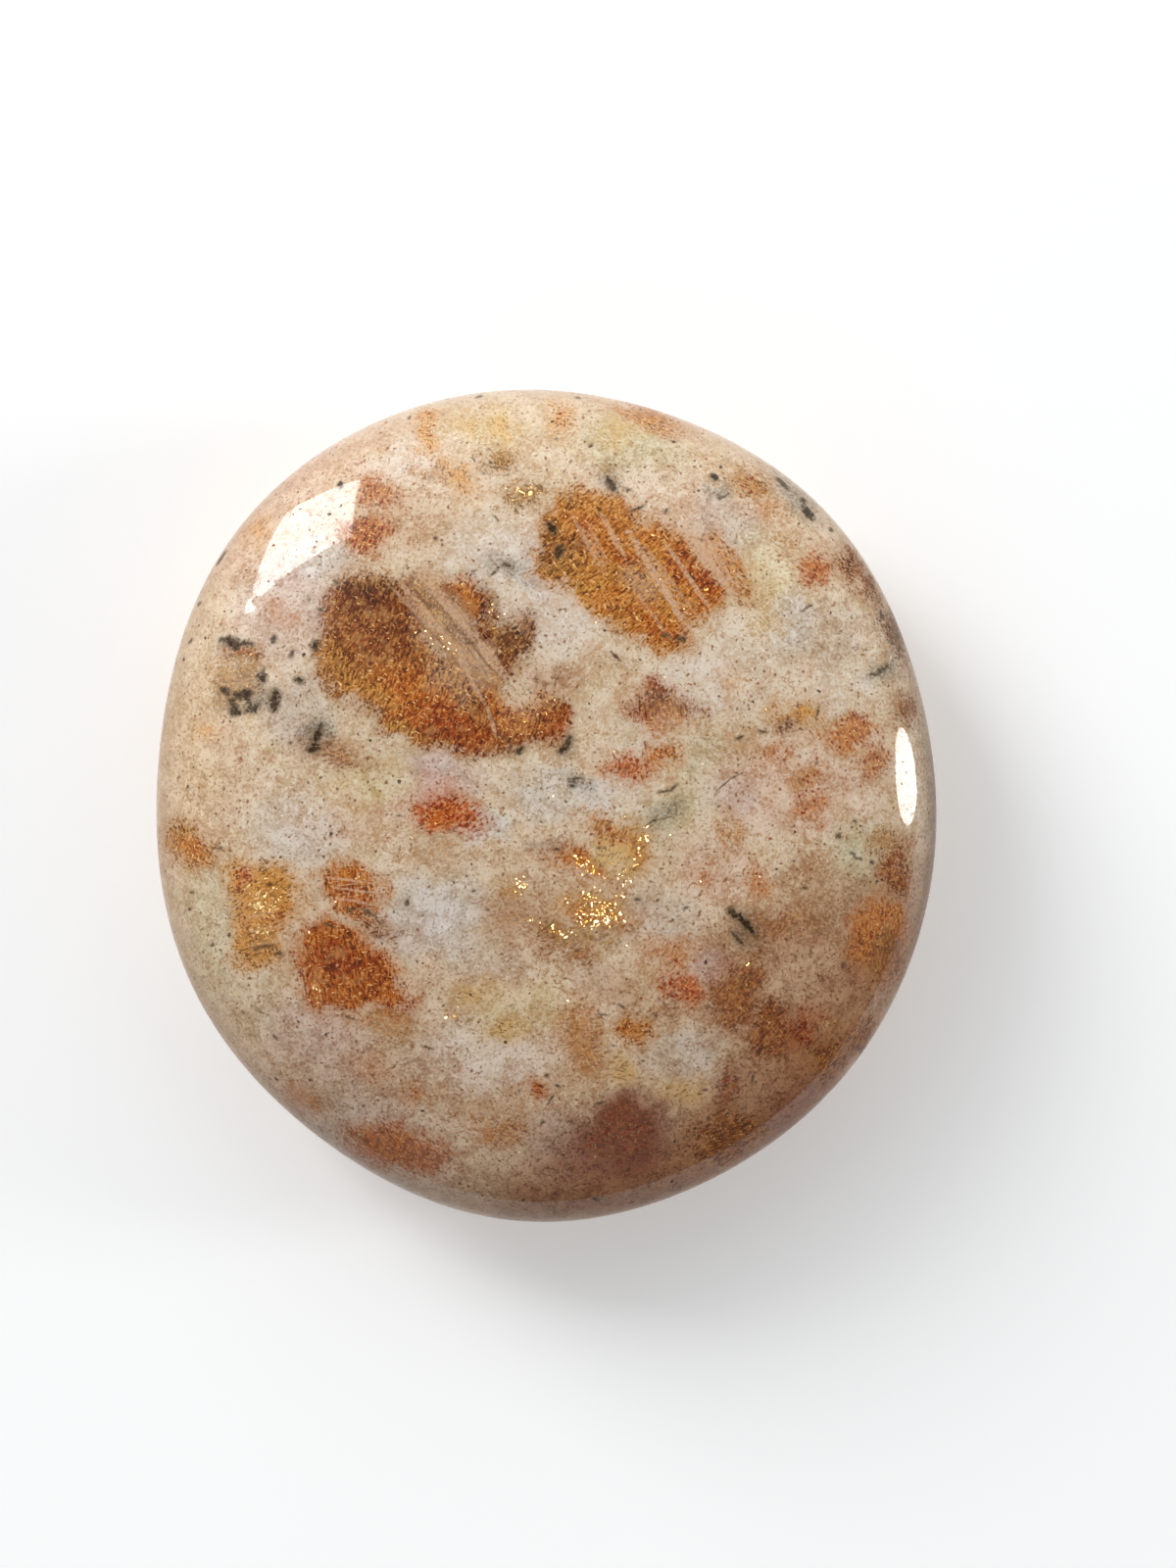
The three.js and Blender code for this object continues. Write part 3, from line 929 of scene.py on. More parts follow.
FLASHES = [
    (3.7, -7.4, 1.8, 1.1, -12),
    (3.1, -7.3, 1.1, 0.9, 0),
    (4.4, -7.0, 0.7, 0.6, 0),
    (5.2, -6.0, 0.3, 0.7, -15),
    (5.6, -4.9, 0.2, 0.15, 0),
    (6.4, -3.0, 0.12, 0.5, -10),
    (2.4, -4.4, 0.8, 0.2, -18),
    (-1.5, -5.4, 0.3, 0.6, -10),
    (1.2, -8.9, 0.6, 0.25, -8),
    (-0.1, -8.5, 0.5, 0.2, -25),
    (8.7, -2.1, 0.25, 0.15, 0),
    (-19.7, -6.5, 1.3, 0.9, -10),
    (-20.3, -9.0, 0.9, 0.8, 0),
    (-15.9, -13.2, 0.2, 0.35, 0),
    (19.8, -15.1, 0.5, 0.2, 0),
    (-3.5, 14.1, 0.12, 0.3, 20),
    (-7.6, 11.5, 0.4, 0.15, -40),
    (-1.4, 22.0, 0.8, 0.4, 0),
    (-6.9, -14.6, 0.4, 0.3, 0),
    (23.4, 10.4, 0.6, 0.3, 40),
]

# %% Splinters and grains
SPLINTERS = [
    (-22.1, 11.5, 0.75, 0.35, -25), (-22.8, 11.7, 0.3, 0.14, 20), (-20.9, 11.4, 0.3, 0.14, -20),
    (-22.6, 8.1, 0.35, 0.2, -20), (-21.3, 7.8, 0.6, 0.28, 10), (-21.9, 6.6, 0.4, 0.3, 0),
    (-22.2, 7.3, 0.4, 0.12, -60), (-20.5, 6.9, 0.35, 0.22, 60), (-19.1, 7.4, 0.75, 0.32, 82),
    (-20.0, 9.0, 0.38, 0.28, -40), (-19.9, 9.5, 0.25, 0.09, 80), (-17.4, 8.8, 0.35, 0.2, -20),
    (-19.2, 11.7, 0.25, 0.15, 70), (-17.9, 10.7, 0.25, 0.12, 60), (-16.25, 11.25, 0.34, 0.26, 80),
    (-15.9, 13.8, 0.2, 0.1, -30), (-16.7, 14.5, 0.13, 0.08, 0), (-18.0, 4.4, 0.11, 0.1, 0),
    (-16.1, 4.9, 0.5, 0.24, 60), (-16.4, 4.0, 0.4, 0.24, 0), (-15.9, 5.5, 0.4, 0.12, 80),
    (-14.8, 15.7, 0.25, 0.1, -40), (-24.4, 14.2, 0.35, 0.1, 20), (-25.0, 11.6, 0.25, 0.08, 50),
    (-22.9, 17.4, 0.6, 0.14, 52), (4.5, 22.7, 0.5, 0.24, -55), (4.75, 22.3, 0.2, 0.14, 0),
    (5.8, 22.2, 0.2, 0.1, 0), (0.4, 19.5, 0.45, 0.22, -55), (0.9, 17.9, 0.42, 0.24, 80),
    (-9.7, 27.2, 0.3, 0.08, 60), (-4.7, 28.8, 0.3, 0.1, 30), (2.2, 28.7, 0.2, 0.08, 0),
    (0.7, 25.8, 0.1, 0.08, 0), (3.1, 25.3, 0.18, 0.08, 40), (-5.1, 24.3, 0.22, 0.06, -50),
    (1.7, 24.2, 0.25, 0.06, 60), (-4.4, 23.3, 0.09, 0.08, 0), (-7.8, 18.8, 0.14, 0.12, 0),
    (-1.4, 22.0, 0.4, 0.1, 20), (-14.5, 22.6, 0.25, 0.18, 80), (6.4, 20.9, 0.6, 0.08, 20),
    (-3.5, 20.2, 0.2, 0.06, -50), (-2.7, 16.9, 0.35, 0.12, -30), (-3.7, 16.4, 0.3, 0.09, 40),
    (11.8, 23.1, 0.3, 0.2, -20), (12.6, 21.8, 0.5, 0.09, 30), (12.0, 21.8, 0.12, 0.08, 0),
    (16.6, 22.7, 0.65, 0.16, -50), (18.4, 20.6, 0.6, 0.26, -50), (18.1, 21.5, 0.25, 0.16, 0),
    (20.0, 19.4, 0.15, 0.12, 0), (8.4, 20.7, 0.18, 0.1, 50), (13.3, 18.5, 0.09, 0.07, 0),
    (10.9, 18.7, 0.09, 0.08, 0), (18.4, 14.0, 0.4, 0.06, 25), (18.0, 13.7, 0.12, 0.06, 0),
    (19.1, 6.6, 0.45, 0.07, 80), (23.5, 9.5, 0.45, 0.12, 50), (23.9, 9.8, 0.3, 0.12, 40),
    (23.6, 13.4, 0.3, 0.1, -70), (24.8, 11.0, 0.3, 0.08, 70), (22.9, 9.3, 0.2, 0.1, 40),
    (15.2, 5.2, 0.3, 0.1, -10), (13.6, 4.8, 0.25, 0.1, 30), (21.6, 11.1, 0.12, 0.06, 20),
    (9.5, 11.7, 0.3, 0.14, 10), (8.4, 12.0, 0.25, 0.12, 0), (1.5, 4.4, 0.5, 0.2, 62),
    (1.1, 3.9, 0.3, 0.18, 30), (-1.9, 3.9, 0.3, 0.18, 40), (2.1, 1.9, 0.5, 0.08, 5),
    (1.8, 1.4, 0.2, 0.12, 0), (0.8, -3.1, 0.22, 0.09, -20), (3.7, -3.0, 0.11, 0.1, 0),
    (-5.1, -6.0, 0.12, 0.08, 0), (-9.8, -6.8, 0.22, 0.1, 80), (-10.3, -0.7, 0.2, 0.06, 0),
    (6.4, -6.6, 0.2, 0.09, 0), (-4.1, -7.3, 0.12, 0.06, 0), (13.15, -7.55, 0.45, 0.26, -40),
    (14.05, -8.35, 0.95, 0.24, -48), (13.45, -9.35, 0.6, 0.13, -50),
    (20.6, -2.1, 0.18, 0.12, -10), (21.6, -3.4, 0.25, 0.09, -30),
    (21.9, -3.7, 0.15, 0.08, 0), (22.9, -4.0, 0.15, 0.1, 0), (19.0, 3.0, 0.1, 0.08, 0),
    (17.4, -3.9, 0.1, 0.08, 0), (9.8, -7.2, 0.16, 0.08, 10), (20.85, -11.2, 0.25, 0.08, 88),
    (21.7, -1.1, 0.12, 0.1, 0), (18.2, -5.8, 0.15, 0.12, 0), (13.4, 2.1, 0.6, 0.05, 25),
    (12.4, 1.4, 0.5, 0.05, 42), (9.0, 1.3, 0.35, 0.09, 50), (8.3, 1.0, 0.45, 0.08, 10),
    (8.3, -0.9, 0.6, 0.05, 15), (7.3, -1.2, 0.4, 0.05, 40), (4.0, -14.7, 0.4, 0.06, 0),
    (5.3, -14.1, 0.3, 0.08, -30), (14.5, -19.2, 0.3, 0.08, 86), (11.1, -20.0, 0.2, 0.07, 10),
    (3.5, -27.7, 0.3, 0.14, -20), (6.8, -17.95, 0.16, 0.06, 0), (4.7, -16.9, 0.13, 0.06, 0),
    (7.7, -14.8, 0.12, 0.1, 0), (0.0, -19.0, 0.15, 0.1, 0), (13.8, -21.3, 0.1, 0.08, 0),
    (3.8, -20.9, 0.35, 0.07, 10), (-19.05, -16.3, 0.2, 0.07, -50), (-8.3, -17.0, 0.3, 0.07, -20),
    (0.3, -20.7, 0.35, 0.06, 60), (0.8, -19.7, 0.2, 0.08, -30), (-15.7, -16.2, 0.12, 0.05, 30),
    (-13.9, -14.9, 0.5, 0.07, -20), (-20.2, -14.4, 0.35, 0.06, -40), (-1.9, -20.1, 0.12, 0.06, 88),
    (1.6, -22.2, 0.2, 0.06, 0), (-0.3, -22.3, 0.15, 0.1, 60), (-19.9, -3.8, 0.2, 0.05, -45),
    (-12.5, -7.5, 0.5, 0.1, -30), (-13.9, -7.3, 0.3, 0.09, -40), (-11.8, -8.2, 0.3, 0.07, -50),
    (-15.3, -8.4, 0.3, 0.08, -20), (-18.8, -10.4, 0.28, 0.12, 0), (-19.8, -9.9, 0.5, 0.1, 5),
    (-21.0, -10.1, 0.2, 0.08, -40), (-23.0, -3.0, 0.15, 0.1, 0), (-25.1, -7.3, 0.11, 0.1, 0),
    (-24.9, -6.1, 0.15, 0.08, 10), (-23.5, -9.8, 0.15, 0.1, 30), (4.85, 10.5, 0.4, 0.08, -45),
]

# %% [markdown]
# ### The sides and the underside
#
# The camera saw only one face. The other one is guessed: clouds of the same pigments, sizes and
# density, thrown with a fixed seed on points of the skin below the girdle. A cloud is a clump of
# a few ellipses of related pigments.

# %% Marks on the unseen side
UNSEEN_SEED = 29
UNSEEN_CLUMPS = 30
UNSEEN_SPLINTERS = 60
UNSEEN_WASHES = 26
RELATED_PIGMENTS = (
    ("amber brown", "amber", "rust", "ochre"),
    ("tan orange", "orange", "rust", "gold"),
    ("rust", "deep rust", "amber", "orange"),
    ("rose", "rosy brown", "red orange", "pink"),
    ("peach", "yellow", "gold", "tan orange"),
    ("brown", "ochre", "olive", "beige"),
)
UNSEEN_GROUNDS = ("snow", "milk", "blush", "straw", "sand", "mauve", "sage", "ash")
# Marks are thrown from this far below the girdle on down.
THROWN_BELOW_GIRDLE = 1.5
# Shares: how wide a mark is for its length, how far a clump spreads and how its ellipses differ.
WIDTH_SHARES = (0.45, 0.9)
CLUMP_SPREAD = 0.35
CLUMP_SIZES = (0.55, 1)
CLUMP_STRENGTHS = (0.6, 0.95)
# A clump has one more ellipse for every so many millimetres of its half length.
LENGTH_PER_PIGMENT = 1.3
# In degrees. An ellipse that has turned so far lies as before.
HALF_TURN = 180

dice = np.random.default_rng(UNSEEN_SEED)
unseen_corners = corners[corners[:, 2] < GIRDLE - THROWN_BELOW_GIRDLE]


def throw_marks(count, smallest, largest):
    """Places on the unseen skin, each with half sizes and a turn. Small marks are the commonest."""
    for place in dice.choice(unseen_corners, count):
        length = smallest + (largest - smallest) * dice.random() ** 3
        yield place, length, length * dice.uniform(*WIDTH_SHARES), dice.uniform(0, HALF_TURN)


def throw_clump(place, length, width, turn):
    """A few overlapping ellipses with one lean: the rows of one guessed cloud."""
    pigments = RELATED_PIGMENTS[dice.integers(len(RELATED_PIGMENTS))]
    lean = dice.uniform(0, HALF_TURN)
    strength = dice.uniform(*CLUMP_STRENGTHS)
    for pigment in pigments[: 1 + int(length / LENGTH_PER_PIGMENT)]:
        shift = dice.normal(0, length * CLUMP_SPREAD, 3)
        size = dice.uniform(*CLUMP_SIZES)
        yield pigment, place + shift, length * size, width * size, turn, strength, lean


# %% [markdown]
# ### From marks to the skin
#
# Every mark is a body in the stone. For each corner of the skin NumPy works out how deep it lies
# inside each body, in millimetres, after pushing the corner about with a slow random wave, so that
# no outline stays an ellipse or a polygon. The depths and colours are stored on the mesh as
# attributes, which the material reads. The frayed edges and all that is finer come from the
# material's own textures.

# %% Push the corners about
SINES = 9
SINE_PITCHES = (0.6, 1.6)
# One row is: size of the wave, how far it pushes, seed.
WOBBLES = ((3.6, 0.3, 50), (1.4, 0.15, 60))


def wave_noise(points, size, seed):
    """A slow random wave between about -1 and 1, made of sines in random directions."""
    roll = np.random.default_rng(seed)
    total = np.zeros(len(points))
    for _ in range(SINES):
        heading = roll.normal(size=3)
        heading *= math.tau / size / np.linalg.norm(heading) * roll.uniform(*SINE_PITCHES)
        total += np.sin(points @ heading + roll.uniform(0, math.tau))
    return total / math.sqrt(SINES)


places = np.column_stack([seen, corners[:, 2]])
wobbled = places.copy()
for size, push, seed in WOBBLES:
    for axis in range(3):
        wobbled[:, axis] += push * wave_noise(corners, size, seed + axis)
print("Corners are pushed up to", round(float(np.abs(wobbled - places).max()), 2), "mm")

# %% Depths in bodies
# An ellipse is half as thick as this and its half width together.
LENS_THICKNESS = 1.2
# How far past the girdle an outlined cloud runs, and how far past it a place is looked for.
OUTLINE_PAST_GIRDLE = 2
DOME_PAST_GIRDLE = 1


def within(points, centre, length, width, turn, height):
    """Where points lie in an ellipse's own frame, in units of its half sizes."""
    away = points - centre
    cosine, sine = math.cos(math.radians(turn)), math.sin(math.radians(turn))
    along = (away[:, 0] * cosine + away[:, 1] * sine) / length
    across = (away[:, 1] * cosine - away[:, 0] * sine) / width
    return np.column_stack([along, across, away[:, 2] / height])


def depth_in(centre, length, width, turn):
    """How deep each corner lies in an ellipse, in millimetres. It is below 0 outside."""
    frame_place = within(wobbled, centre, length, width, turn, LENS_THICKNESS + width)
    return (1 - np.linalg.norm(frame_place, axis=1)) * min(length, width)


def depth_in_outline(outline):
    """How deep each corner of the upper side lies in a closed outline, in millimetres."""
    points = np.array(outline)
    x, y = wobbled[:, 0], wobbled[:, 1]
    nearest = np.full(len(x), np.inf)
    inside = np.zeros(len(x), bool)
    for start, end in zip(points, np.roll(points, -1, axis=0)):
        run = end - start
        share = ((x - start[0]) * run[0] + (y - start[1]) * run[1]) / (run @ run)
        share = np.clip(share, 0, 1)
        distance = np.hypot(x - start[0] - share * run[0], y - start[1] - share * run[1])
        nearest = np.minimum(nearest, distance)
        crosses = (start[1] > y) != (end[1] > y)
        climb = run[1] if run[1] else 1
        inside ^= crosses & (x < start[0] + run[0] * (y - start[1]) / climb)
    depth = np.where(inside, nearest, -nearest)
    return np.minimum(depth, corners[:, 2] - GIRDLE + OUTLINE_PAST_GIRDLE)


def on_dome(x, y):
    """The place on the skin that the camera sees at x, y."""
    upper = places[:, 2] > GIRDLE - DOME_PAST_GIRDLE
    nearest = np.argmin(np.where(upper, np.hypot(seen[:, 0] - x, seen[:, 1] - y), np.inf))
    return np.array([x, y, places[nearest, 2]])


def rise(value, start, end):
    """0 before start, 1 after end, and a smooth rise between them. It may also run down."""
    share = np.clip((value - start) / (end - start), 0, 1)
    return share * share * (3 - 2 * share)


def store(name, kind, values):
    """Keeps one value for each corner of the stone's mesh."""
    attribute = stone.data.attributes.new(name, kind, "POINT")
    field = {"FLOAT": "value", "FLOAT_VECTOR": "vector", "FLOAT_COLOR": "color"}[kind]
    attribute.data.foreach_set(field, np.asarray(values, np.float32).ravel())


def turned(degrees):
    """The corners' places in a frame whose first axis has that lean."""
    cosine, sine = math.cos(math.radians(degrees)), math.sin(math.radians(degrees))
    x, y, z = corners.T
    return np.column_stack([x * cosine + y * sine, y * cosine - x * sine, z])


# %% [markdown]
# The stone's colour is darker towards its lower end, and darker around its rim, most of all on the
# right and least at the top. This is painted shade, laid into the colour where shade falls on the
# lower end and on the rim that turns from the light. It is stored as the painted shade attribute, a
# share of red, green and blue that stays. Around the rim the fine textures calm down, which is
# `calm`, and except at the top the polish is thinner, which is `gloss`.

# %% Painted shade, calm and gloss
# Each pair of millimetres is where an effect begins and where it is full: first how far up the
# stone as the camera sees it, then heights above the underside. Losses are shares of light that the
# painted shade takes.
LOWER_END = (4.0, -26.0)
LOWER_END_SHADE_LOSS = (0.18, 0.26, 0.3)
RIM_FROM_ABOVE = (12.4, 9.0)
RIM_FROM_BELOW = (0.0, 7.5)
RIM_SHADE_LOSS = (0.3, 0.34, 0.38)
RIGHT_RIM_SHADE_LOSS = 0.4
RIGHT_NARROWNESS = 10
TOP_RIM_SPARED = 0.6
TOP_NARROWNESS = 4
DULL_FROM_ABOVE = (11.3, 10.0)
DULL_FROM_BELOW = (5.0, 7.0)
POLISH_LOSS = 0.45

count = len(corners)
height = corners[:, 2]
across = np.hypot(corners[:, 0], corners[:, 1])
rightward = np.clip(corners[:, 0] / across, 0, 1) ** RIGHT_NARROWNESS
topward = np.clip(corners[:, 1] / across, 0, 1) ** TOP_NARROWNESS
on_rim = rise(height, *RIM_FROM_ABOVE) * rise(height, *RIM_FROM_BELOW)
# Painted shade on the rim, spared at the top.
painted_rim_shade = on_rim * (1 - topward * TOP_RIM_SPARED)
dulled = rise(height, *DULL_FROM_ABOVE) * rise(height, *DULL_FROM_BELOW) * (1 - topward)
# Painted shade towards the lower end and on the rim, strongest on the right.
painted_shade = 1 - rise(seen[:, 1], *LOWER_END)[:, None] * LOWER_END_SHADE_LOSS
painted_shade *= 1 - painted_rim_shade[:, None] * (np.array(RIM_SHADE_LOSS) + rightward[:, None] * RIGHT_RIM_SHADE_LOSS)
store("calm", "FLOAT", on_rim)
store("gloss", "FLOAT", 1 - dulled * POLISH_LOSS)
store("painted_shade", "FLOAT_COLOR", np.column_stack([painted_shade, np.ones(count)]))
print("The deepest shade keeps these shares of light:", painted_shade.min(axis=0).round(2))

# %% Lay the clouds on the skin
BOLDNESS = 0.75
USUAL_STRENGTH = 0.95
# Where a body and the tones in it set in, as depths in millimetres.
BODY_EDGE = (-0.9, 0.3)
CLOUD_EDGE = (-0.9, 0.0)
# Where a single tone sets in, as a share of its half width.
TONE_EDGE = (-0.45, 0.55)
# The depth where no body is near, and a share that can still be divided by.
FAR_OUTSIDE = -3.0
NEXT_TO_NOTHING = 1e-6
USUAL_LEAN = 60
# Flecks lean by their place, so that neighbours lean alike.
FLECK_LEAN = 50
FLECK_LEAN_PER_MM = 3
CLUMP_LENGTHS = (0.8, 5.5)

cloud_colour = np.zeros((count, 3))
cloud_strength = np.zeros(count)
laid = np.full(count, NEXT_TO_NOTHING)
cloud_depth = np.full(count, FAR_OUTSIDE)
weave = turned(USUAL_LEAN)


def lay(pigment, depth, strength, lean):
    """Lays one body over the clouds that are there already."""
    global cloud_colour, cloud_strength, laid, cloud_depth
    share = rise(depth, *BODY_EDGE)
    cloud_colour += (np.array(PALETTE[pigment]) - cloud_colour) * share[:, None]
    cloud_strength += (strength - cloud_strength) * share
    laid += (1 - laid) * share
    weave[depth > cloud_depth] = turned(lean)[depth > cloud_depth]
    cloud_depth = np.maximum(cloud_depth, depth)


for place, length, width, turn in throw_marks(UNSEEN_CLUMPS, *CLUMP_LENGTHS):
    for pigment, centre, a, b, a_turn, strength, lean in throw_clump(place, length, width, turn):
        lay(pigment, depth_in(centre, a, b, a_turn), strength, lean)
for pigment, x, y, length, width, turn, strength in FLECKS:
    lean = FLECK_LEAN + FLECK_LEAN_PER_MM * (x + y)
    lay(pigment, depth_in(on_dome(x, y), length, width, turn), strength, lean)
for cloud in CLOUDS.values():
    depth = depth_in_outline(cloud["outline"])
    lay(cloud["pigment"], depth, cloud.get("strength", USUAL_STRENGTH), cloud["lean"])
    for pigment, x, y, length, width, turn, strength in cloud["tones"]:
        reach = depth_in(on_dome(x, y), length, width, turn) / min(length, width)
        share = rise(reach, *TONE_EDGE) * strength * rise(depth, *CLOUD_EDGE)
        cloud_colour += (np.array(PALETTE[pigment]) - cloud_colour) * share[:, None]

# Normalised, then darkened by the painted shade of the lower end and the rim.
cloud_colour *= painted_shade / laid[:, None]
store("cloud_colour", "FLOAT_COLOR", np.column_stack([cloud_colour, np.ones(count)]))
store("cloud_strength", "FLOAT", (cloud_strength / laid) ** BOLDNESS)
store("cloud_depth", "FLOAT", cloud_depth)
store("weave", "FLOAT_VECTOR", weave)
print("Share of the skin under clouds:", round(float((cloud_depth > 0).mean()), 3))

# %% Lay the washes
WASH_EDGE = (-0.4, 0.5)
UNSEEN_WASH_LENGTHS = (2.5, 9.0)
UNSEEN_WASH_STRENGTH = 0.75

ground = np.tile(PALETTE["cream"], (count, 1))
washes = [(kind, on_dome(x, y), a, b, turn, s) for kind, x, y, a, b, turn, s in WASHES]
for place, length, width, turn in throw_marks(UNSEEN_WASHES, *UNSEEN_WASH_LENGTHS):
    kind = UNSEEN_GROUNDS[dice.integers(len(UNSEEN_GROUNDS))]
    washes.append((kind, place, length, width, turn, UNSEEN_WASH_STRENGTH))
for kind, centre, length, width, turn, strength in washes:
    reach = depth_in(centre, length, width, turn) / min(length, width)
    share = rise(reach, *WASH_EDGE) * strength
    ground += (np.array(PALETTE[kind]) - ground) * share[:, None]
# The washes are darkened by the painted shade of the lower end and the rim.
ground *= painted_shade
store("ground_colour", "FLOAT_COLOR", np.column_stack([ground, np.ones(count)]))
print(len(washes), "washes were laid")

# %% Lay the soft marks
SMOKE_EDGE = (-0.7, 0.7)
FLASH_EDGE = (-0.5, 0.4)


def deepest(marks):
    """The depth in the nearest of several ellipses."""
    depths = [depth_in(on_dome(x, y), a, b, turn) for x, y, a, b, turn in marks]
    return np.clip(np.max(depths, axis=0), FAR_OUTSIDE, -FAR_OUTSIDE)


store("dots_depth", "FLOAT", deepest(RED_DOTS))
store("smoke", "FLOAT", rise(deepest(SMOKE), *SMOKE_EDGE))
store("flashes", "FLOAT", rise(deepest(FLASHES), *FLASH_EDGE))

# %% Lay the sharp marks
# Sharp marks go so deep that they cut the skin straight down, wherever it slopes.
DEEP = 40.0
# Corners within this of a mark are told where they lie in it.
SEARCH_MARGIN = 3
# The thinnest splinters are the faintest: their strength starts here and grows with their width.
FAINTEST = 0.55
STRENGTH_PER_WIDTH = 2
UNSEEN_SPLINTER_LENGTHS = (0.1, 0.7)
UNSEEN_SPLINTER_SLIMNESS = 0.6


def store_bodies(name, marks):
    """For each corner, where it lies in the frame of the nearest of many small bodies.

    That place changes evenly across a face, so even a body much smaller than a face keeps its sharp
    outline. The distance to the nearest body tells where its frame can be trusted.
    """
    nearest = np.full(count, np.inf)
    frame_places = np.full((count, 3), DEEP)
    strengths = np.zeros(count)
    for centre, length, width, turn, height, strength in marks:
        near = np.flatnonzero(np.abs(places - centre).max(axis=1) < length + SEARCH_MARGIN)
        frame_place = within(places[near], centre, length, width, turn, height)
        millimetres = frame_place * (length, width, height)
        millimetres[:, 0] -= np.clip(millimetres[:, 0], width - length, length - width)
        away = np.linalg.norm(millimetres, axis=1) - width
        better = away < nearest[near]
        chosen = near[better]
        nearest[chosen] = away[better]
        frame_places[chosen] = np.clip(frame_place[better], -DEEP, DEEP)
        strengths[chosen] = strength
    store(name, "FLOAT_VECTOR", frame_places)
    store(name + "_away", "FLOAT", np.minimum(nearest, DEEP))
    store(name + "_strength", "FLOAT", strengths)


def line_bodies(lines):
    """Lines as long thin bodies that go straight down into the stone."""
    bodies = []
    for start_x, start_y, end_x, end_y, half_width, strength in lines:
        length = math.hypot(end_x - start_x, end_y - start_y) / 2
        turn = math.degrees(math.atan2(end_y - start_y, end_x - start_x))
        centre = on_dome((start_x + end_x) / 2, (start_y + end_y) / 2)
        bodies.append((centre, length, half_width, turn, DEEP, strength))
    return bodies


splinters = []
for x, y, length, width, turn in SPLINTERS:
    strength = min(1.0, FAINTEST + STRENGTH_PER_WIDTH * width)
    splinters.append((on_dome(x, y), length, width, turn, DEEP, strength))
for place, length, width, turn in throw_marks(UNSEEN_SPLINTERS, *UNSEEN_SPLINTER_LENGTHS):
    splinters.append((place, length, width * UNSEEN_SPLINTER_SLIMNESS, turn, width, 1.0))
store_bodies("splinter", splinters)
store_bodies("seam", line_bodies(SEAMS))
store_bodies("scratch", line_bodies(SCRATCHES))
print(len(splinters), "splinters,", len(SEAMS), "seams and", len(SCRATCHES), "scratches were laid")

# %% [markdown]
# ## A shader group for grains
#
# Dust, specks, red dots and mirror-like flakes are all small bodies cut by the skin; the bright dust
# motes are painted glints. One group serves them: a Voronoi texture in the stone's own space
# scatters middles at a given spacing. The group gives the distance to the nearest middle and three
# random numbers that belong to it, so that each body can have its own size, kind and lean.


# %% Grains
def grain_group():
    """A place and a spacing in, the distance to the nearest grain and its chances out."""
    graph, given, exit_node = new_group(
        "Grains",
        "ShaderNodeTree",
        {"Vector": ("Vector", None), "Spacing": ("Float", 1.0)},
        {"Distance": "Float", "Chance": "Vector"},
    )
    scaled = graph.vector_maths("SCALE", given["Vector"], 1 / given["Spacing"])
    cells = graph.node("ShaderNodeTexVoronoi", {"Vector": scaled, "Scale": 1.0})
    distance = Wire(graph, cells.outputs["Distance"]) * given["Spacing"]
    fill(graph, exit_node, Distance=distance, Chance=Wire(graph, cells.outputs["Color"]))
    return graph.tree


GRAINS = grain_group()
print("The group for grains has", len(GRAINS.nodes), "nodes")

# %% [markdown]
# ## The finish
#
# One Principled shader makes the whole stone. Its body is the feldspar with everything that grew
# in it, and a clear coat over it is the polish: sharp reflections lie on top of a soft body.

# %% Sizes of the textures
# One row of a noise is: its size in millimetres, its detail and its roughness.
NOISES = {
    "hue": (3.2, 2.0, 0.5),
    "haze": (2.6, 2.0, 0.5),
    "mottle": (1.0, 2.0, 0.5),
    "felt": (0.21, 2.0, 0.6),
    "bend": (1.1, 2.0, 0.5),
    "fibre zones": (4.6, 1.0, 0.5),
    "fibres": (0.62, 1.0, 0.5),
    "crowding": (2.2, 2.0, 0.5),
    "grit": (0.26, 3.0, 0.7),
    "fray": (1.2, 4.0, 0.65),
    "tone": (0.95, 3.0, 0.6),
    "strokes": (0.145, 1.0, 0.5),
    "threads": (0.13, 1.0, 0.5),
}
# How far the grains of a kind lie apart, in millimetres.
SPACINGS = {"dust and glints": 0.19, "flakes": 0.24, "specks": 0.42, "single grains": 1.7}
# The smallest radius of each kind and how much larger it may be, in millimetres.
RADII = {
    "dust and glints": (0.04, 0.04),
    "flakes": (0.09, 0.045),
    "specks": (0.05, 0.085),
    "red dots": (0.08, 0.1),
    "single grains": (0.07, 0.14),
}
# How ragged the edges of the listed marks are, in half widths.
RAGGEDNESS = {"scratch": 2.4, "seam": 2.6, "splinter": 3.2, "splinter halo": 5.0}


# %% Tints
def rgba(*screen):
    """A screen colour as a colour for a node."""
    return (*paint(*screen), 1.0)


# Soft light with the neutral tint leaves a colour as it is.
NEUTRAL = (0.5, 0.5, 0.5, 1)
BLACK = (0.0, 0.0, 0.0, 1)
WHITE = (1.0, 1.0, 1.0, 1)
SOFT_TINTS = {
    "rosy": (0.56, 0.44, 0.4, 1),
    "yellowish": (0.53, 0.5, 0.38, 1),
    "pale haze": (0.8, 0.8, 0.83, 1),
    "dark haze": (0.27, 0.21, 0.15, 1),
    "pale mottle": (0.8, 0.8, 0.8, 1),
    "dark mottle": (0.22, 0.17, 0.13, 1),
    "pale felt": (0.86, 0.86, 0.86, 1),
    "dark felt": (0.06, 0.03, 0.0, 1),
    "deep cloud": (0.12, 0.15, 0.17, 1),
    "deep felt": (0.08, 0.14, 0.17, 1),
}
STROKE_SHADOW = (0.27, 0.21, 0.17, 1)
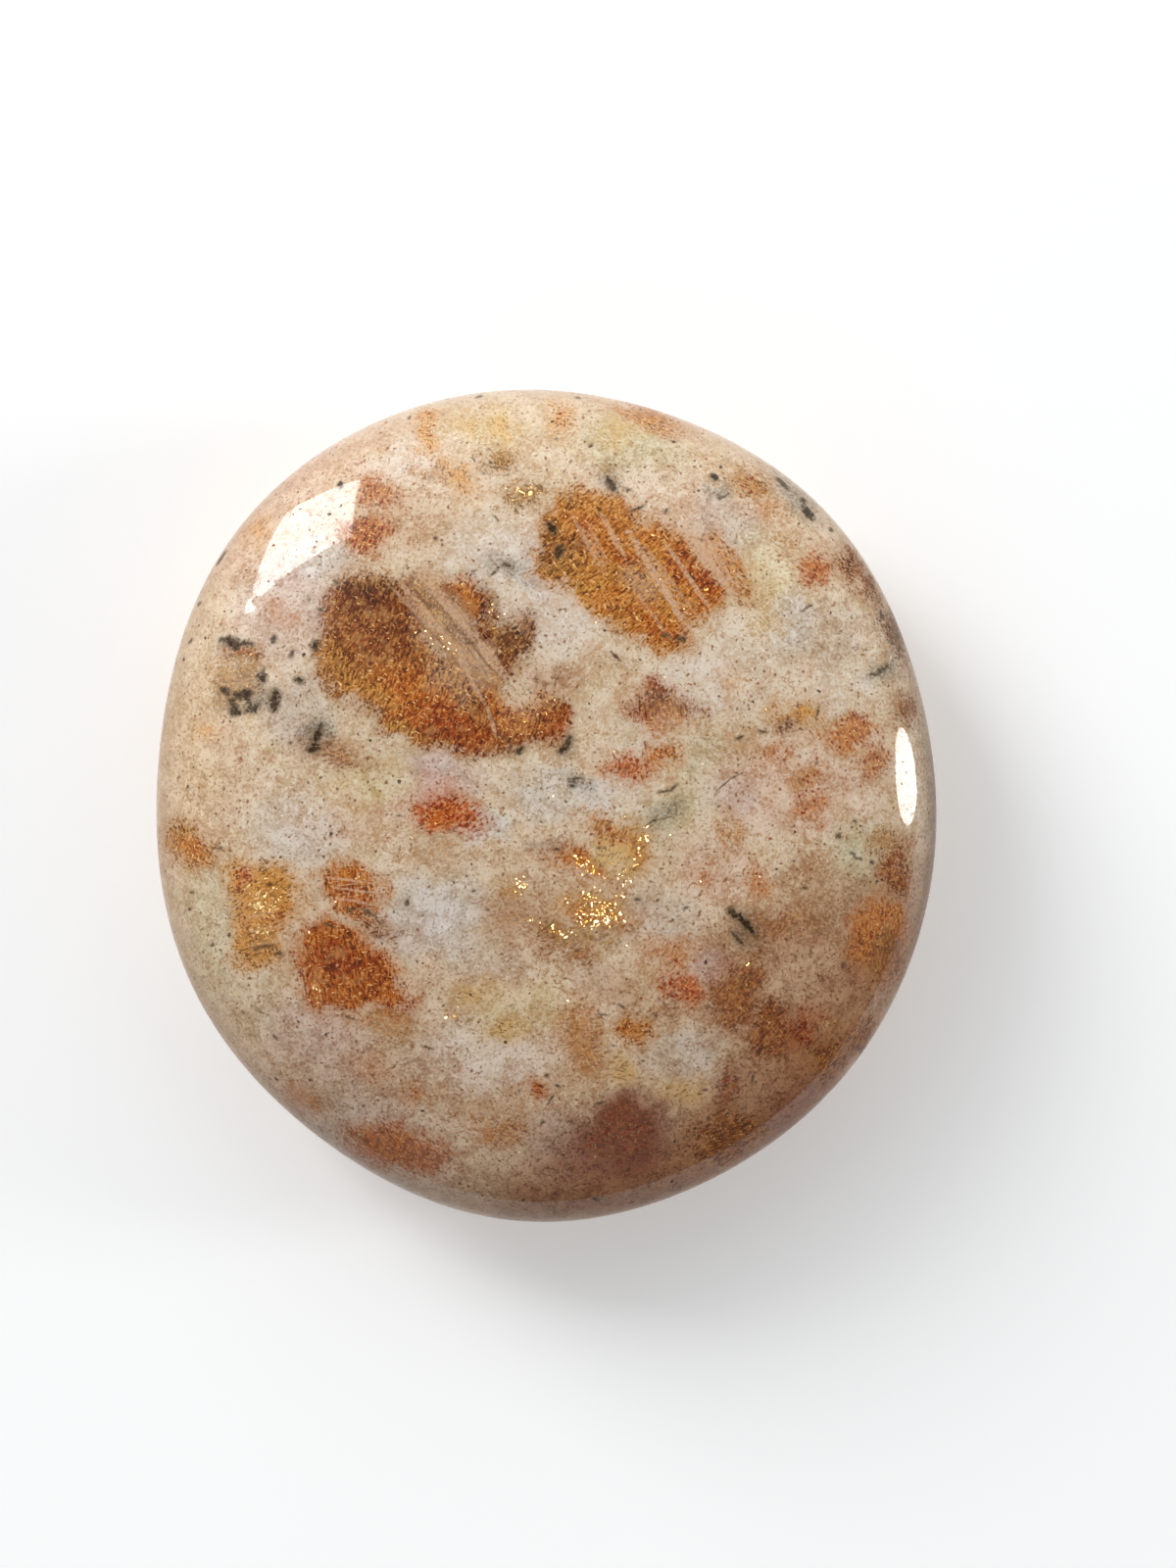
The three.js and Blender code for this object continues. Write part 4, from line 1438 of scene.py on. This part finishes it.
STAINS = {
    "warm light": rgba(255, 253, 252),
    "smoke": rgba(106, 99, 86),
    "brown speck": rgba(132, 80, 48),
    "grey-brown speck": rgba(98, 78, 62),
    "rust speck": rgba(160, 80, 36),
    "black speck": rgba(48, 40, 32),
    "red dot": rgba(140, 40, 10),
    "single grain": rgba(70, 54, 40),
    "veil": rgba(214, 164, 112),
    "pale tone": rgba(206, 152, 92),
    "pale stroke and glint": rgba(240, 174, 94),
    "painted glint thread": rgba(255, 226, 170),
    "scratch": rgba(104, 62, 38),
    "seam": rgba(214, 174, 140),
    "splinter": rgba(38, 24, 8),
    "worn splinter": rgba(92, 66, 38),
    "splinter halo": rgba(114, 94, 68),
    "flashing ground": rgba(172, 112, 48),
    "gold flake": rgba(222, 150, 60),
    "glinting pale flake": rgba(255, 238, 176),
}


# %% Material helpers
# How far from a small body its stored frame can be trusted, in millimetres, and where in that
# frame a body fades out.
TRUSTED = 0.25
BODY_FADE = (1.3, 0.7)
# A noise texture gives one value from its first output and three from its second.
THREE_VALUES = 1


class Finish(Graph):
    """The graph of the stone's material, with words for its textures. All sizes are in mm."""

    def __init__(self, material):
        material.use_nodes = True
        super().__init__(material.node_tree)
        self.tree.nodes.clear()
        coordinates = self.wire("ShaderNodeTexCoord", "Object")
        self.place = self.vector_maths("SCALE", coordinates, 1 / MILLIMETRE)

    def stored(self, name, output="Fac"):
        """An attribute of the mesh."""
        return self.wire("ShaderNodeAttribute", output, attribute_name=name)

    def noise(self, name, vector=None, output=0):
        """One of the noises, at the stone's own place unless another is given."""
        size, detail, roughness = NOISES[name]
        inputs = {
            "Vector": vector or self.place,
            "Scale": 1 / size,
            "Detail": detail,
            "Roughness": roughness,
        }
        return self.wire("ShaderNodeTexNoise", output, inputs)

    def grains(self, name, vector=None):
        """Distance to the nearest grain's middle, and its three random numbers."""
        node = self.node("ShaderNodeGroup", node_tree=GRAINS)
        self.tree.links.new((vector or self.place).socket, node.inputs["Vector"])
        node.inputs["Spacing"].default_value = SPACINGS[name]
        return Wire(self, node.outputs["Distance"]), self.parts(Wire(self, node.outputs["Chance"]))

    def radius(self, name, share):
        """The radius of a grain of that kind, larger with a larger share."""
        smallest, spread = RADII[name]
        return smallest + share * spread

    def body(self, distance, radius):
        """1 inside a grain of that radius, with a soft rim."""
        return self.step(distance, radius, radius * 0.5)

    def laid(self, name, grit):
        """The strength of the listed marks of a kind, with ragged edges. 0 away from all of them."""
        reach = self.vector_maths("LENGTH", self.stored(name, "Vector")) + grit
        near = self.step(self.stored(name + "_away"), TRUSTED, TRUSTED / 2)
        return self.step(reach, *BODY_FADE) * near * self.stored(name + "_strength")

    def between(self, value, low, high):
        """1 where a random number lies between two limits."""
        return self.maths("GREATER_THAN", value, low) * self.maths("LESS_THAN", value, high)

    def line(self, value, outer, inner):
        """1 along the lines where a noise passes its middle, and 0 beyond outer."""
        return self.step(self.maths("ABSOLUTE", value - 0.5), outer, inner)

    def with_painted_shade(self, painted_shade, colour):
        """A colour with the painted shade of the lower end and the rim on it."""
        return self.mix(1.0, painted_shade, colour, "MULTIPLY")

    def layers(self, colour, rows):
        """Mixes tints into a colour, one by one.

        One row is: a noise, where its share starts and is full, the share, the tint. A share that
        is full at the lower value takes the noise's low places.
        """
        for noise, start, full, share, tint in rows:
            colour = self.mix(self.step(noise, start, full) * share, colour, tint)
        return colour


# %% [markdown]
# ### The feldspar
#
# Feldspar is cloudy, mottled and fibrous at every size. A photograph laid over the skin would show
# seams and stretch at the rim, so noises in the stone's own space do it instead, from the slow haze
# down to dust. They are gathered into one texture, which soft light lays over the washes.


# %% The feldspar
def feldspar(g, bent, felt):
    """The washes under a texture that is neutral at half grey.

    Soft light makes the texture relative: it turns a tan ground into a paler tan, never to white.
    """
    hue, haze, mottle = g.noise("hue"), g.noise("haze", bent), g.noise("mottle", bent)
    rows = [
        (hue, 0.5, 0.64, 0.7, SOFT_TINTS["rosy"]),
        (hue, 0.5, 0.36, 0.7, SOFT_TINTS["yellowish"]),
        (haze, 0.48, 0.66, 0.75, SOFT_TINTS["pale haze"]),
        (haze, 0.52, 0.34, 0.55, SOFT_TINTS["dark haze"]),
        (mottle, 0.46, 0.7, 0.6, SOFT_TINTS["pale mottle"]),
        (mottle, 0.54, 0.32, 0.5, SOFT_TINTS["dark mottle"]),
        (felt, 0.5, 0.7, 0.65, SOFT_TINTS["pale felt"]),
        (felt, 0.46, 0.29, 1.0, SOFT_TINTS["dark felt"]),
    ]
    texture = g.layers(NEUTRAL, rows)

    # Short curved fibres, pale and dark, thicker in some zones than in others.
    zone = g.step(g.noise("fibre zones"), 0.42, 0.6) * 0.4 + 0.65
    lines_a, lines_b, kind = g.parts(g.noise("fibres", bent, THREE_VALUES))
    dark = g.line(lines_a, 0.05, 0.012) * g.step(kind, 0.5, 0.62)
    pale = g.line(lines_b, 0.06, 0.015) * g.step(kind, 0.5, 0.4)
    texture = g.mix(dark * zone * 0.75, texture, BLACK)
    texture = g.mix(pale * zone * 0.6, texture, WHITE)

    # Dust: dark motes, and bright motes that are painted glints, much finer than the specks.
    away, (chance, size, _) = g.grains("dust and glints", bent)
    dust_and_glint = g.body(away, g.radius("dust and glints", size)) * 0.85
    texture = g.mix(dust_and_glint * g.between(chance, 0.0, 0.23), texture, BLACK)
    texture = g.mix(dust_and_glint * g.between(chance, 0.82, 1.0), texture, WHITE)

    # The texture fades towards the rim, where it is seen along the skin.
    texture = g.mix(g.stored("calm") * 0.5, texture, NEUTRAL)
    ground = g.mix(1.0, g.stored("ground_colour", "Color"), STAINS["warm light"], "MULTIPLY")
    return g.mix(1.0, ground, texture, "SOFT_LIGHT"), dark


# %% [markdown]
# ### The specks
#
# Fine ragged grains of other minerals lie all through the feldspar, crowded in some zones. One set
# of grains makes the specks, the pits in the polish and the red dots, each with its own chance.


# %% The specks
# One row is: the chances between which a grain is a speck of this kind, its share, its stain.
SPECK_KINDS = (
    (0.0, 0.34, 0.8, "brown speck"),
    (0.34, 0.42, 0.75, "grey-brown speck"),
    (0.42, 0.46, 0.8, "rust speck"),
    (0.46, 0.48, 0.95, "black speck"),
)
PIT_CHANCES = (0.3, 0.7)
RED_DOT_CHANCES = (0.1, 1.0)


def speckled(g, colour, ragged):
    """Lays the specks over a colour. Gives the red dots and the pits of the same grains too."""
    crowding = g.step(g.noise("crowding"), 0.36, 0.62) * 0.9 + 0.5
    away, (chance, size, dot_size) = g.grains("specks")
    speck = g.body(away + ragged, g.radius("specks", size))
    for low, high, share, stain in SPECK_KINDS:
        here = g.between(chance / crowding, low, high)
        colour = g.mix(speck * here * share, colour, STAINS[stain])
    red_dot = g.body(away + ragged, g.radius("red dots", dot_size))
    red_dot = red_dot * g.between(size, *RED_DOT_CHANCES)
    return colour, red_dot, speck * g.between(chance, *PIT_CHANCES)


# %% [markdown]
# ### The clouds
#
# A cloud's outline, colour and lean are stored on the mesh, but its plates are far finer than a
# face of the skin. They are noises in the frame that leans with the cloud: stretched along the lean
# they are dark and pale strokes, stretched across it they are pale threads. The pale strokes and
# threads are partly painted glint, and the brightest threads are painted glints of plates that
# catch the light.


# %% The clouds
STROKE_STRETCH = (0.36, 1, 1)
THREAD_STRETCH = (1, 0.4, 1)
WEAVE_BEND = 0.5
# How far a cloud's edge wanders and how far strokes and threads stand out of it, in millimetres.
EDGE_WANDER = 1.4
STROKE_REACH = 1.7
THREAD_REACH = 0.9


def cloud_over(g, colour, bend, felt):
    """Clouds of plates: a clear body hatched by dark strokes, crossed by pale ones partly painted
    glint.

    Their edges dissolve stroke by stroke, over a veil that reaches a little further. Dark clouds
    have fewer pale strokes than light ones.
    """
    bent_weave = g.vector_maths("SCALE", bend, WEAVE_BEND)
    woven = g.vector_maths("ADD", g.stored("weave", "Vector"), bent_weave)
    stroke = g.noise("strokes", g.vector_maths("MULTIPLY", woven, STROKE_STRETCH))
    thread = g.noise("threads", g.vector_maths("MULTIPLY", woven, THREAD_STRETCH))
    fray = g.noise("fray") - 0.5
    depth = g.stored("cloud_depth") + fray * EDGE_WANDER
    own, strength = g.stored("cloud_colour", "Color"), g.stored("cloud_strength")
    veil = g.step(depth, -1.3, 0.6) * strength * 0.6
    colour = g.mix(veil, colour, g.mix(0.35, own, STAINS["veil"]))
    dissolved = (0.5 - stroke) * STROKE_REACH + (0.5 - felt) * STROKE_REACH
    dissolved = dissolved + (0.5 - thread) * THREAD_REACH
    cover = g.step(depth + dissolved, -0.5, 0.5) * strength

    tone = g.noise("tone")
    rows = [
        (tone, 0.5, 0.68, 0.8, SOFT_TINTS["deep cloud"]),
        (felt, 0.48, 0.34, 0.4, SOFT_TINTS["deep felt"]),
    ]
    cloud = g.mix(1.0, own, g.layers(NEUTRAL, rows), "SOFT_LIGHT")
    cloud = g.mix(g.step(stroke, 0.47, 0.36) * 0.95, cloud, STROKE_SHADOW, "MULTIPLY")

    # The painted shade of the lower end and the rim darkens the pale strokes and glints as well.
    painted_shade = g.stored("painted_shade", "Color")
    _, own_green, _ = g.parts(own)
    lively = g.step(own_green, 0.03, 0.12) * 0.5 + 0.5
    pale_stroke_and_glint = g.mix(0.3, g.with_painted_shade(painted_shade, STAINS["pale stroke and glint"]), own)
    # Pale strokes and threads are partly the plates' pale colour, partly painted glint; the brightest
    # threads are painted glints.
    rows = [
        (tone, 0.48, 0.32, 0.4, g.with_painted_shade(painted_shade, STAINS["pale tone"])),
        (stroke, 0.56, 0.66, lively * 0.85, pale_stroke_and_glint),
        (thread, 0.58, 0.67, lively * 0.95, pale_stroke_and_glint),
        (thread, 0.69, 0.75, lively, g.with_painted_shade(painted_shade, STAINS["painted glint thread"])),
    ]
    return g.mix(cover, colour, g.layers(cloud, rows)), cover, fray


# %% [markdown]
# ### The flakes
#
# A few plates lie just under the skin like small mirrors. Plates of one crystal are nearly
# parallel, so they flash together. A flake could be modelled, but thousands of them are cheaper as
# grains whose colour, metal and normal differ from the skin's.


# %% The flakes
# How far the flakes lean out of the skin, towards the window on the upper left, and how far a
# single one strays from that.
FLAKE_LEAN = (-0.43, 0.44, 0.0)
FLAKE_STRAY = 0.26
FLAKE_RAGGEDNESS = 0.14
# The share of grains that are flakes: where it flashes, among strokes and anywhere.
FLAKES_IN_FLASHES = 0.95
FLAKES_IN_CLOUDS = 0.008
FLAKES_ANYWHERE = 0.001


def flaked(g, colour, bent, felt, cover):
    """Lays flakes over a colour: crowded where it flashes and thin among the strokes."""
    flashes = g.stored("flashes")
    colour = g.mix(flashes * 0.4, colour, STAINS["flashing ground"])
    away, (chance, tint, turn) = g.grains("flakes", bent)
    share = flashes * FLAKES_IN_FLASHES + cover * FLAKES_IN_CLOUDS + FLAKES_ANYWHERE
    ragged = (felt - 0.5) * FLAKE_RAGGEDNESS
    flake = g.body(away + ragged, g.radius("flakes", flashes)) * g.maths("LESS_THAN", chance, share)
    # Partly painted glint: with the metal at 0.6, part of a flake's flash is plain bright colour.
    gold = g.mix(tint, STAINS["gold flake"], STAINS["glinting pale flake"])
    colour = g.mix(flake * 0.9, colour, gold)

    # Each flake strays a little from the common lean.
    stray = g.vector_maths("SCALE", g.vector(tint - 0.5, turn - 0.5, 0.0), FLAKE_STRAY)
    lean = g.vector_maths("SCALE", g.vector_maths("ADD", stray, FLAKE_LEAN), flake)
    leaning = g.vector_maths("ADD", g.wire("ShaderNodeNewGeometry", "Normal"), lean)
    return colour, flake, g.vector_maths("NORMALIZE", leaning)


# %% [markdown]
# ### All of the finish
#
# The layers go over one another as they lie in the stone: feldspar, smoke, specks, clouds, seams
# and scratches, red dots, single grains, splinters and flakes. The coat over them is the polish.

# %% Build the finish
FELDSPAR_IOR = 1.53
BODY_SHINE = 0.1
BODY_ROUGHNESS = 0.55
POLISH_ROUGHNESS = 0.035
BENDING = 1.5
GRAIN_RAGGEDNESS = 0.4
DOTS_WANDER = 0.8
DOTS_EDGE = (-0.35, 0.2)
SINGLE_GRAIN_CHANCES = (0.0, 0.45)
# How far a halo reaches beyond its splinter, in half widths.
HALO_REACH = 1.0
# What hairs, clouds and splinters take from the polish.
POLISH_LOSSES = {"hairs": 0.5, "clouds": 0.4, "splinters": 0.5}


def build_finish(material):
    g = Finish(material)

    # A shared slow bend, so that no texture looks combed.
    bend = g.vector_maths("SUBTRACT", g.noise("bend", output=THREE_VALUES), (0.5, 0.5, 0.5))
    bent = g.vector_maths("ADD", g.place, g.vector_maths("SCALE", bend, BENDING))
    felt = g.noise("felt")
    grit = g.noise("grit") - 0.5
    ragged = (felt - 0.5) * GRAIN_RAGGEDNESS

    colour, hairs = feldspar(g, bent, felt)

    # Smoke, the shadow of splinters deeper down.
    smoke = g.stored("smoke") * (g.step(felt, 0.6, 0.36) * 0.5 + 0.4)
    colour = g.mix(smoke, colour, STAINS["smoke"])

    colour, red_dot, pits = speckled(g, colour, ragged)
    colour, cover, fray = cloud_over(g, colour, bend, felt)

    # Pale seams, and brown scratches beside them.
    broken = g.step(felt, 0.4, 0.58) * 0.6 + 0.4
    for kind in ("scratch", "seam"):
        mark = g.laid(kind, grit * RAGGEDNESS[kind]) * broken
        colour = g.mix(mark, colour, STAINS[kind])

    # Red dots in their clusters.
    dotted = g.step(g.stored("dots_depth") + fray * DOTS_WANDER, *DOTS_EDGE)
    colour = g.mix(red_dot * dotted * 0.85, colour, STAINS["red dot"])

    # Single larger grains, far apart.
    away, (chance, size, _) = g.grains("single grains")
    single = g.body(away + ragged, g.radius("single grains", size))
    single = single * g.between(chance, *SINGLE_GRAIN_CHANCES)
    colour = g.mix(single * 0.9, colour, STAINS["single grain"])

    # Green-black splinters, each with a soft halo.
    ink = g.mix(g.step(felt, 0.42, 0.66), STAINS["splinter"], STAINS["worn splinter"])
    halo = g.laid("splinter", grit * RAGGEDNESS["splinter halo"] - HALO_REACH) * 0.5
    splinter = g.laid("splinter", grit * RAGGEDNESS["splinter"]) * 0.95
    colour = g.mix(splinter, g.mix(halo, colour, STAINS["splinter halo"]), ink)

    colour, flake, normal = flaked(g, colour, bent, felt, cover)

    # The polish is missing in the tiniest pits and on single grains, thin along the hairs and on
    # splinters, weaker on clouds and thinner around the rim.
    polish = 1 - g.maths("MAXIMUM", pits, single)
    for mark, kind in ((hairs, "hairs"), (cover, "clouds"), (splinter, "splinters")):
        polish = polish - mark * POLISH_LOSSES[kind]

    shader = g.node(
        "ShaderNodeBsdfPrincipled",
        {
            "Base Color": colour,
            "Metallic": flake * 0.6,
            "Roughness": BODY_ROUGHNESS - flake * 0.3,
            "IOR": FELDSPAR_IOR,
            "Specular IOR Level": BODY_SHINE,
            "Normal": normal,
            "Coat Weight": polish * g.stored("gloss"),
            "Coat Roughness": POLISH_ROUGHNESS,
            "Coat IOR": FELDSPAR_IOR,
        },
    )
    output = g.node("ShaderNodeOutputMaterial")
    g.tree.links.new(shader.outputs[0], output.inputs["Surface"])


build_finish(finish)
print("The finish has", len(finish.node_tree.nodes), "nodes")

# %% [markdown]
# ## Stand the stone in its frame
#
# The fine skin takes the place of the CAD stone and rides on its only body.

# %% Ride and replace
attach(stone, "root")
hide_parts("sunstone")

# %% [markdown]
# ## Floor, light and camera
#
# The stone lies on a plain pale floor in a room with light walls. They are brightest at the far
# side and high up, and dimmer low down and to the right. The ceiling is dimmest, so that the face
# of the stone stays free of shine. A leaning window high on the upper left gives the broad shine on
# the shoulder, and a low upright light on the right gives the thin shine on the rim.

# %% The floor
FLOOR_SIDE = 6.0
FLOOR_WHITE = 0.93
FLOOR_ROUGHNESS = 0.9
FLOOR_GLOW = 0.17


def pale_floor():
    """A wide plain floor that glows a little, as a lit one does."""
    mesh = bpy.data.meshes.new("floor")
    half = FLOOR_SIDE / 2
    ends = [(-half, -half, 0), (half, -half, 0), (half, half, 0), (-half, half, 0)]
    mesh.from_pydata(ends, [], [(0, 1, 2, 3)])
    floor = bpy.data.objects.new("floor", mesh)
    bpy.context.scene.collection.objects.link(floor)
    material = bpy.data.materials.new("white card")
    material.use_nodes = True
    shader = material.node_tree.nodes["Principled BSDF"]
    shader.inputs["Base Color"].default_value = (*[FLOOR_WHITE] * 3, 1)
    shader.inputs["Roughness"].default_value = FLOOR_ROUGHNESS
    shader.inputs["Emission Color"].default_value = WHITE
    shader.inputs["Emission Strength"].default_value = FLOOR_GLOW
    mesh.materials.append(material)


pale_floor()
print("The floor is", FLOOR_SIDE, "m wide")


# %% The lights
LIGHT_DISTANCE = 1.5


def window_light(name, shape, azimuth, tilt, spin, wide, tall, radiance, lean=(0, 0)):
    """A flat light, sized in metres. Azimuth runs anticlockwise from +X, tilt from straight up.

    It faces the stone, unless it leans about its own two axes. Angles are in degrees.
    """
    light = bpy.data.lights.new(name, "AREA")
    light.shape = shape
    light.size = wide
    light.size_y = tall
    light.energy = radiance * wide * tall * math.pi
    if shape == "ELLIPSE":
        light.energy *= math.pi / 4
    lamp = bpy.data.objects.new(name, light)
    bpy.context.scene.collection.objects.link(lamp)
    turn = Matrix.Rotation(math.radians(azimuth + 90), 4, "Z")
    turn = turn @ Matrix.Rotation(math.radians(tilt), 4, "X")
    turn = turn @ Matrix.Rotation(math.radians(spin), 4, "Z")
    turn = turn @ Matrix.Translation((0, 0, LIGHT_DISTANCE))
    turn = turn @ Matrix.Rotation(math.radians(lean[0]), 4, "Y")
    lamp.matrix_world = turn @ Matrix.Rotation(math.radians(lean[1]), 4, "X")


window_light(
    "window",
    "RECTANGLE",
    azimuth=131.7,
    tilt=64.5,
    spin=-52.1,
    wide=0.87,
    tall=0.9,
    radiance=9.5,
    lean=(37.7, -44.9),
)
window_light(
    "low window", "ELLIPSE", azimuth=4.4, tilt=77.4, spin=3, wide=0.33, tall=0.73, radiance=14.0
)
print("Lights:", [(light.name, round(light.energy, 1)) for light in bpy.data.lights])

# %% The room
NEAR_WALLS = 0.5
FAR_WALLS = 1.43
LOW_SHARE = 0.4
RIGHT_LOSS = 0.6
CEILING = 0.17
DAYLIGHT = (0.97, 0.985, 1.0, 1)
# Where one part of the room passes into the next, along the direction's own x, y and z.
RIGHT_FADE = (0.0, 0.9)
FAR_FADE = (-0.6, 0.9)
LOW_FADE = (0.1, 0.55)
CEILING_FADE = (0.72, 0.96)


def white_room():
    """A world like a room with light walls, brightest at the far side and high up.

    They are dimmer low down and towards the right, and the ceiling is dimmest of all.
    """
    world = bpy.data.worlds.new("white room")
    bpy.context.scene.world = world
    world.use_nodes = True
    graph = Graph(world.node_tree)
    direction = graph.wire("ShaderNodeTexCoord", "Generated")
    right, far, up = graph.parts(direction)
    overhead = graph.step(up, *CEILING_FADE)
    walls = graph.step(far, *FAR_FADE) * (FAR_WALLS - NEAR_WALLS) + NEAR_WALLS
    walls = walls * (graph.step(up, *LOW_FADE) * (1 - LOW_SHARE) + LOW_SHARE)
    walls = walls * (1 - graph.step(right, *RIGHT_FADE) * RIGHT_LOSS)
    background = world.node_tree.nodes["Background"]
    background.inputs["Color"].default_value = DAYLIGHT
    strength = walls + overhead * (CEILING - walls)
    graph.tree.links.new(strength.socket, background.inputs["Strength"])


white_room()

# %% The camera
FRAME_TALL = 110.3
SENSOR = 36.0
NEAREST_SEEN = 0.01

camera_data = bpy.data.cameras.new("camera")
camera_data.sensor_width = SENSOR
camera_data.lens = SENSOR * CAMERA_DISTANCE / FRAME_TALL
camera_data.clip_start = NEAREST_SEEN
camera = bpy.data.objects.new("camera", camera_data)
camera.location = [MILLIMETRE * part for part in (*CAMERA_SPOT, GIRDLE + CAMERA_DISTANCE)]
bpy.context.scene.collection.objects.link(camera)
bpy.context.scene.camera = camera
bpy.context.scene.view_settings.view_transform = "Standard"
print("The lens is", round(camera_data.lens, 1), "mm")
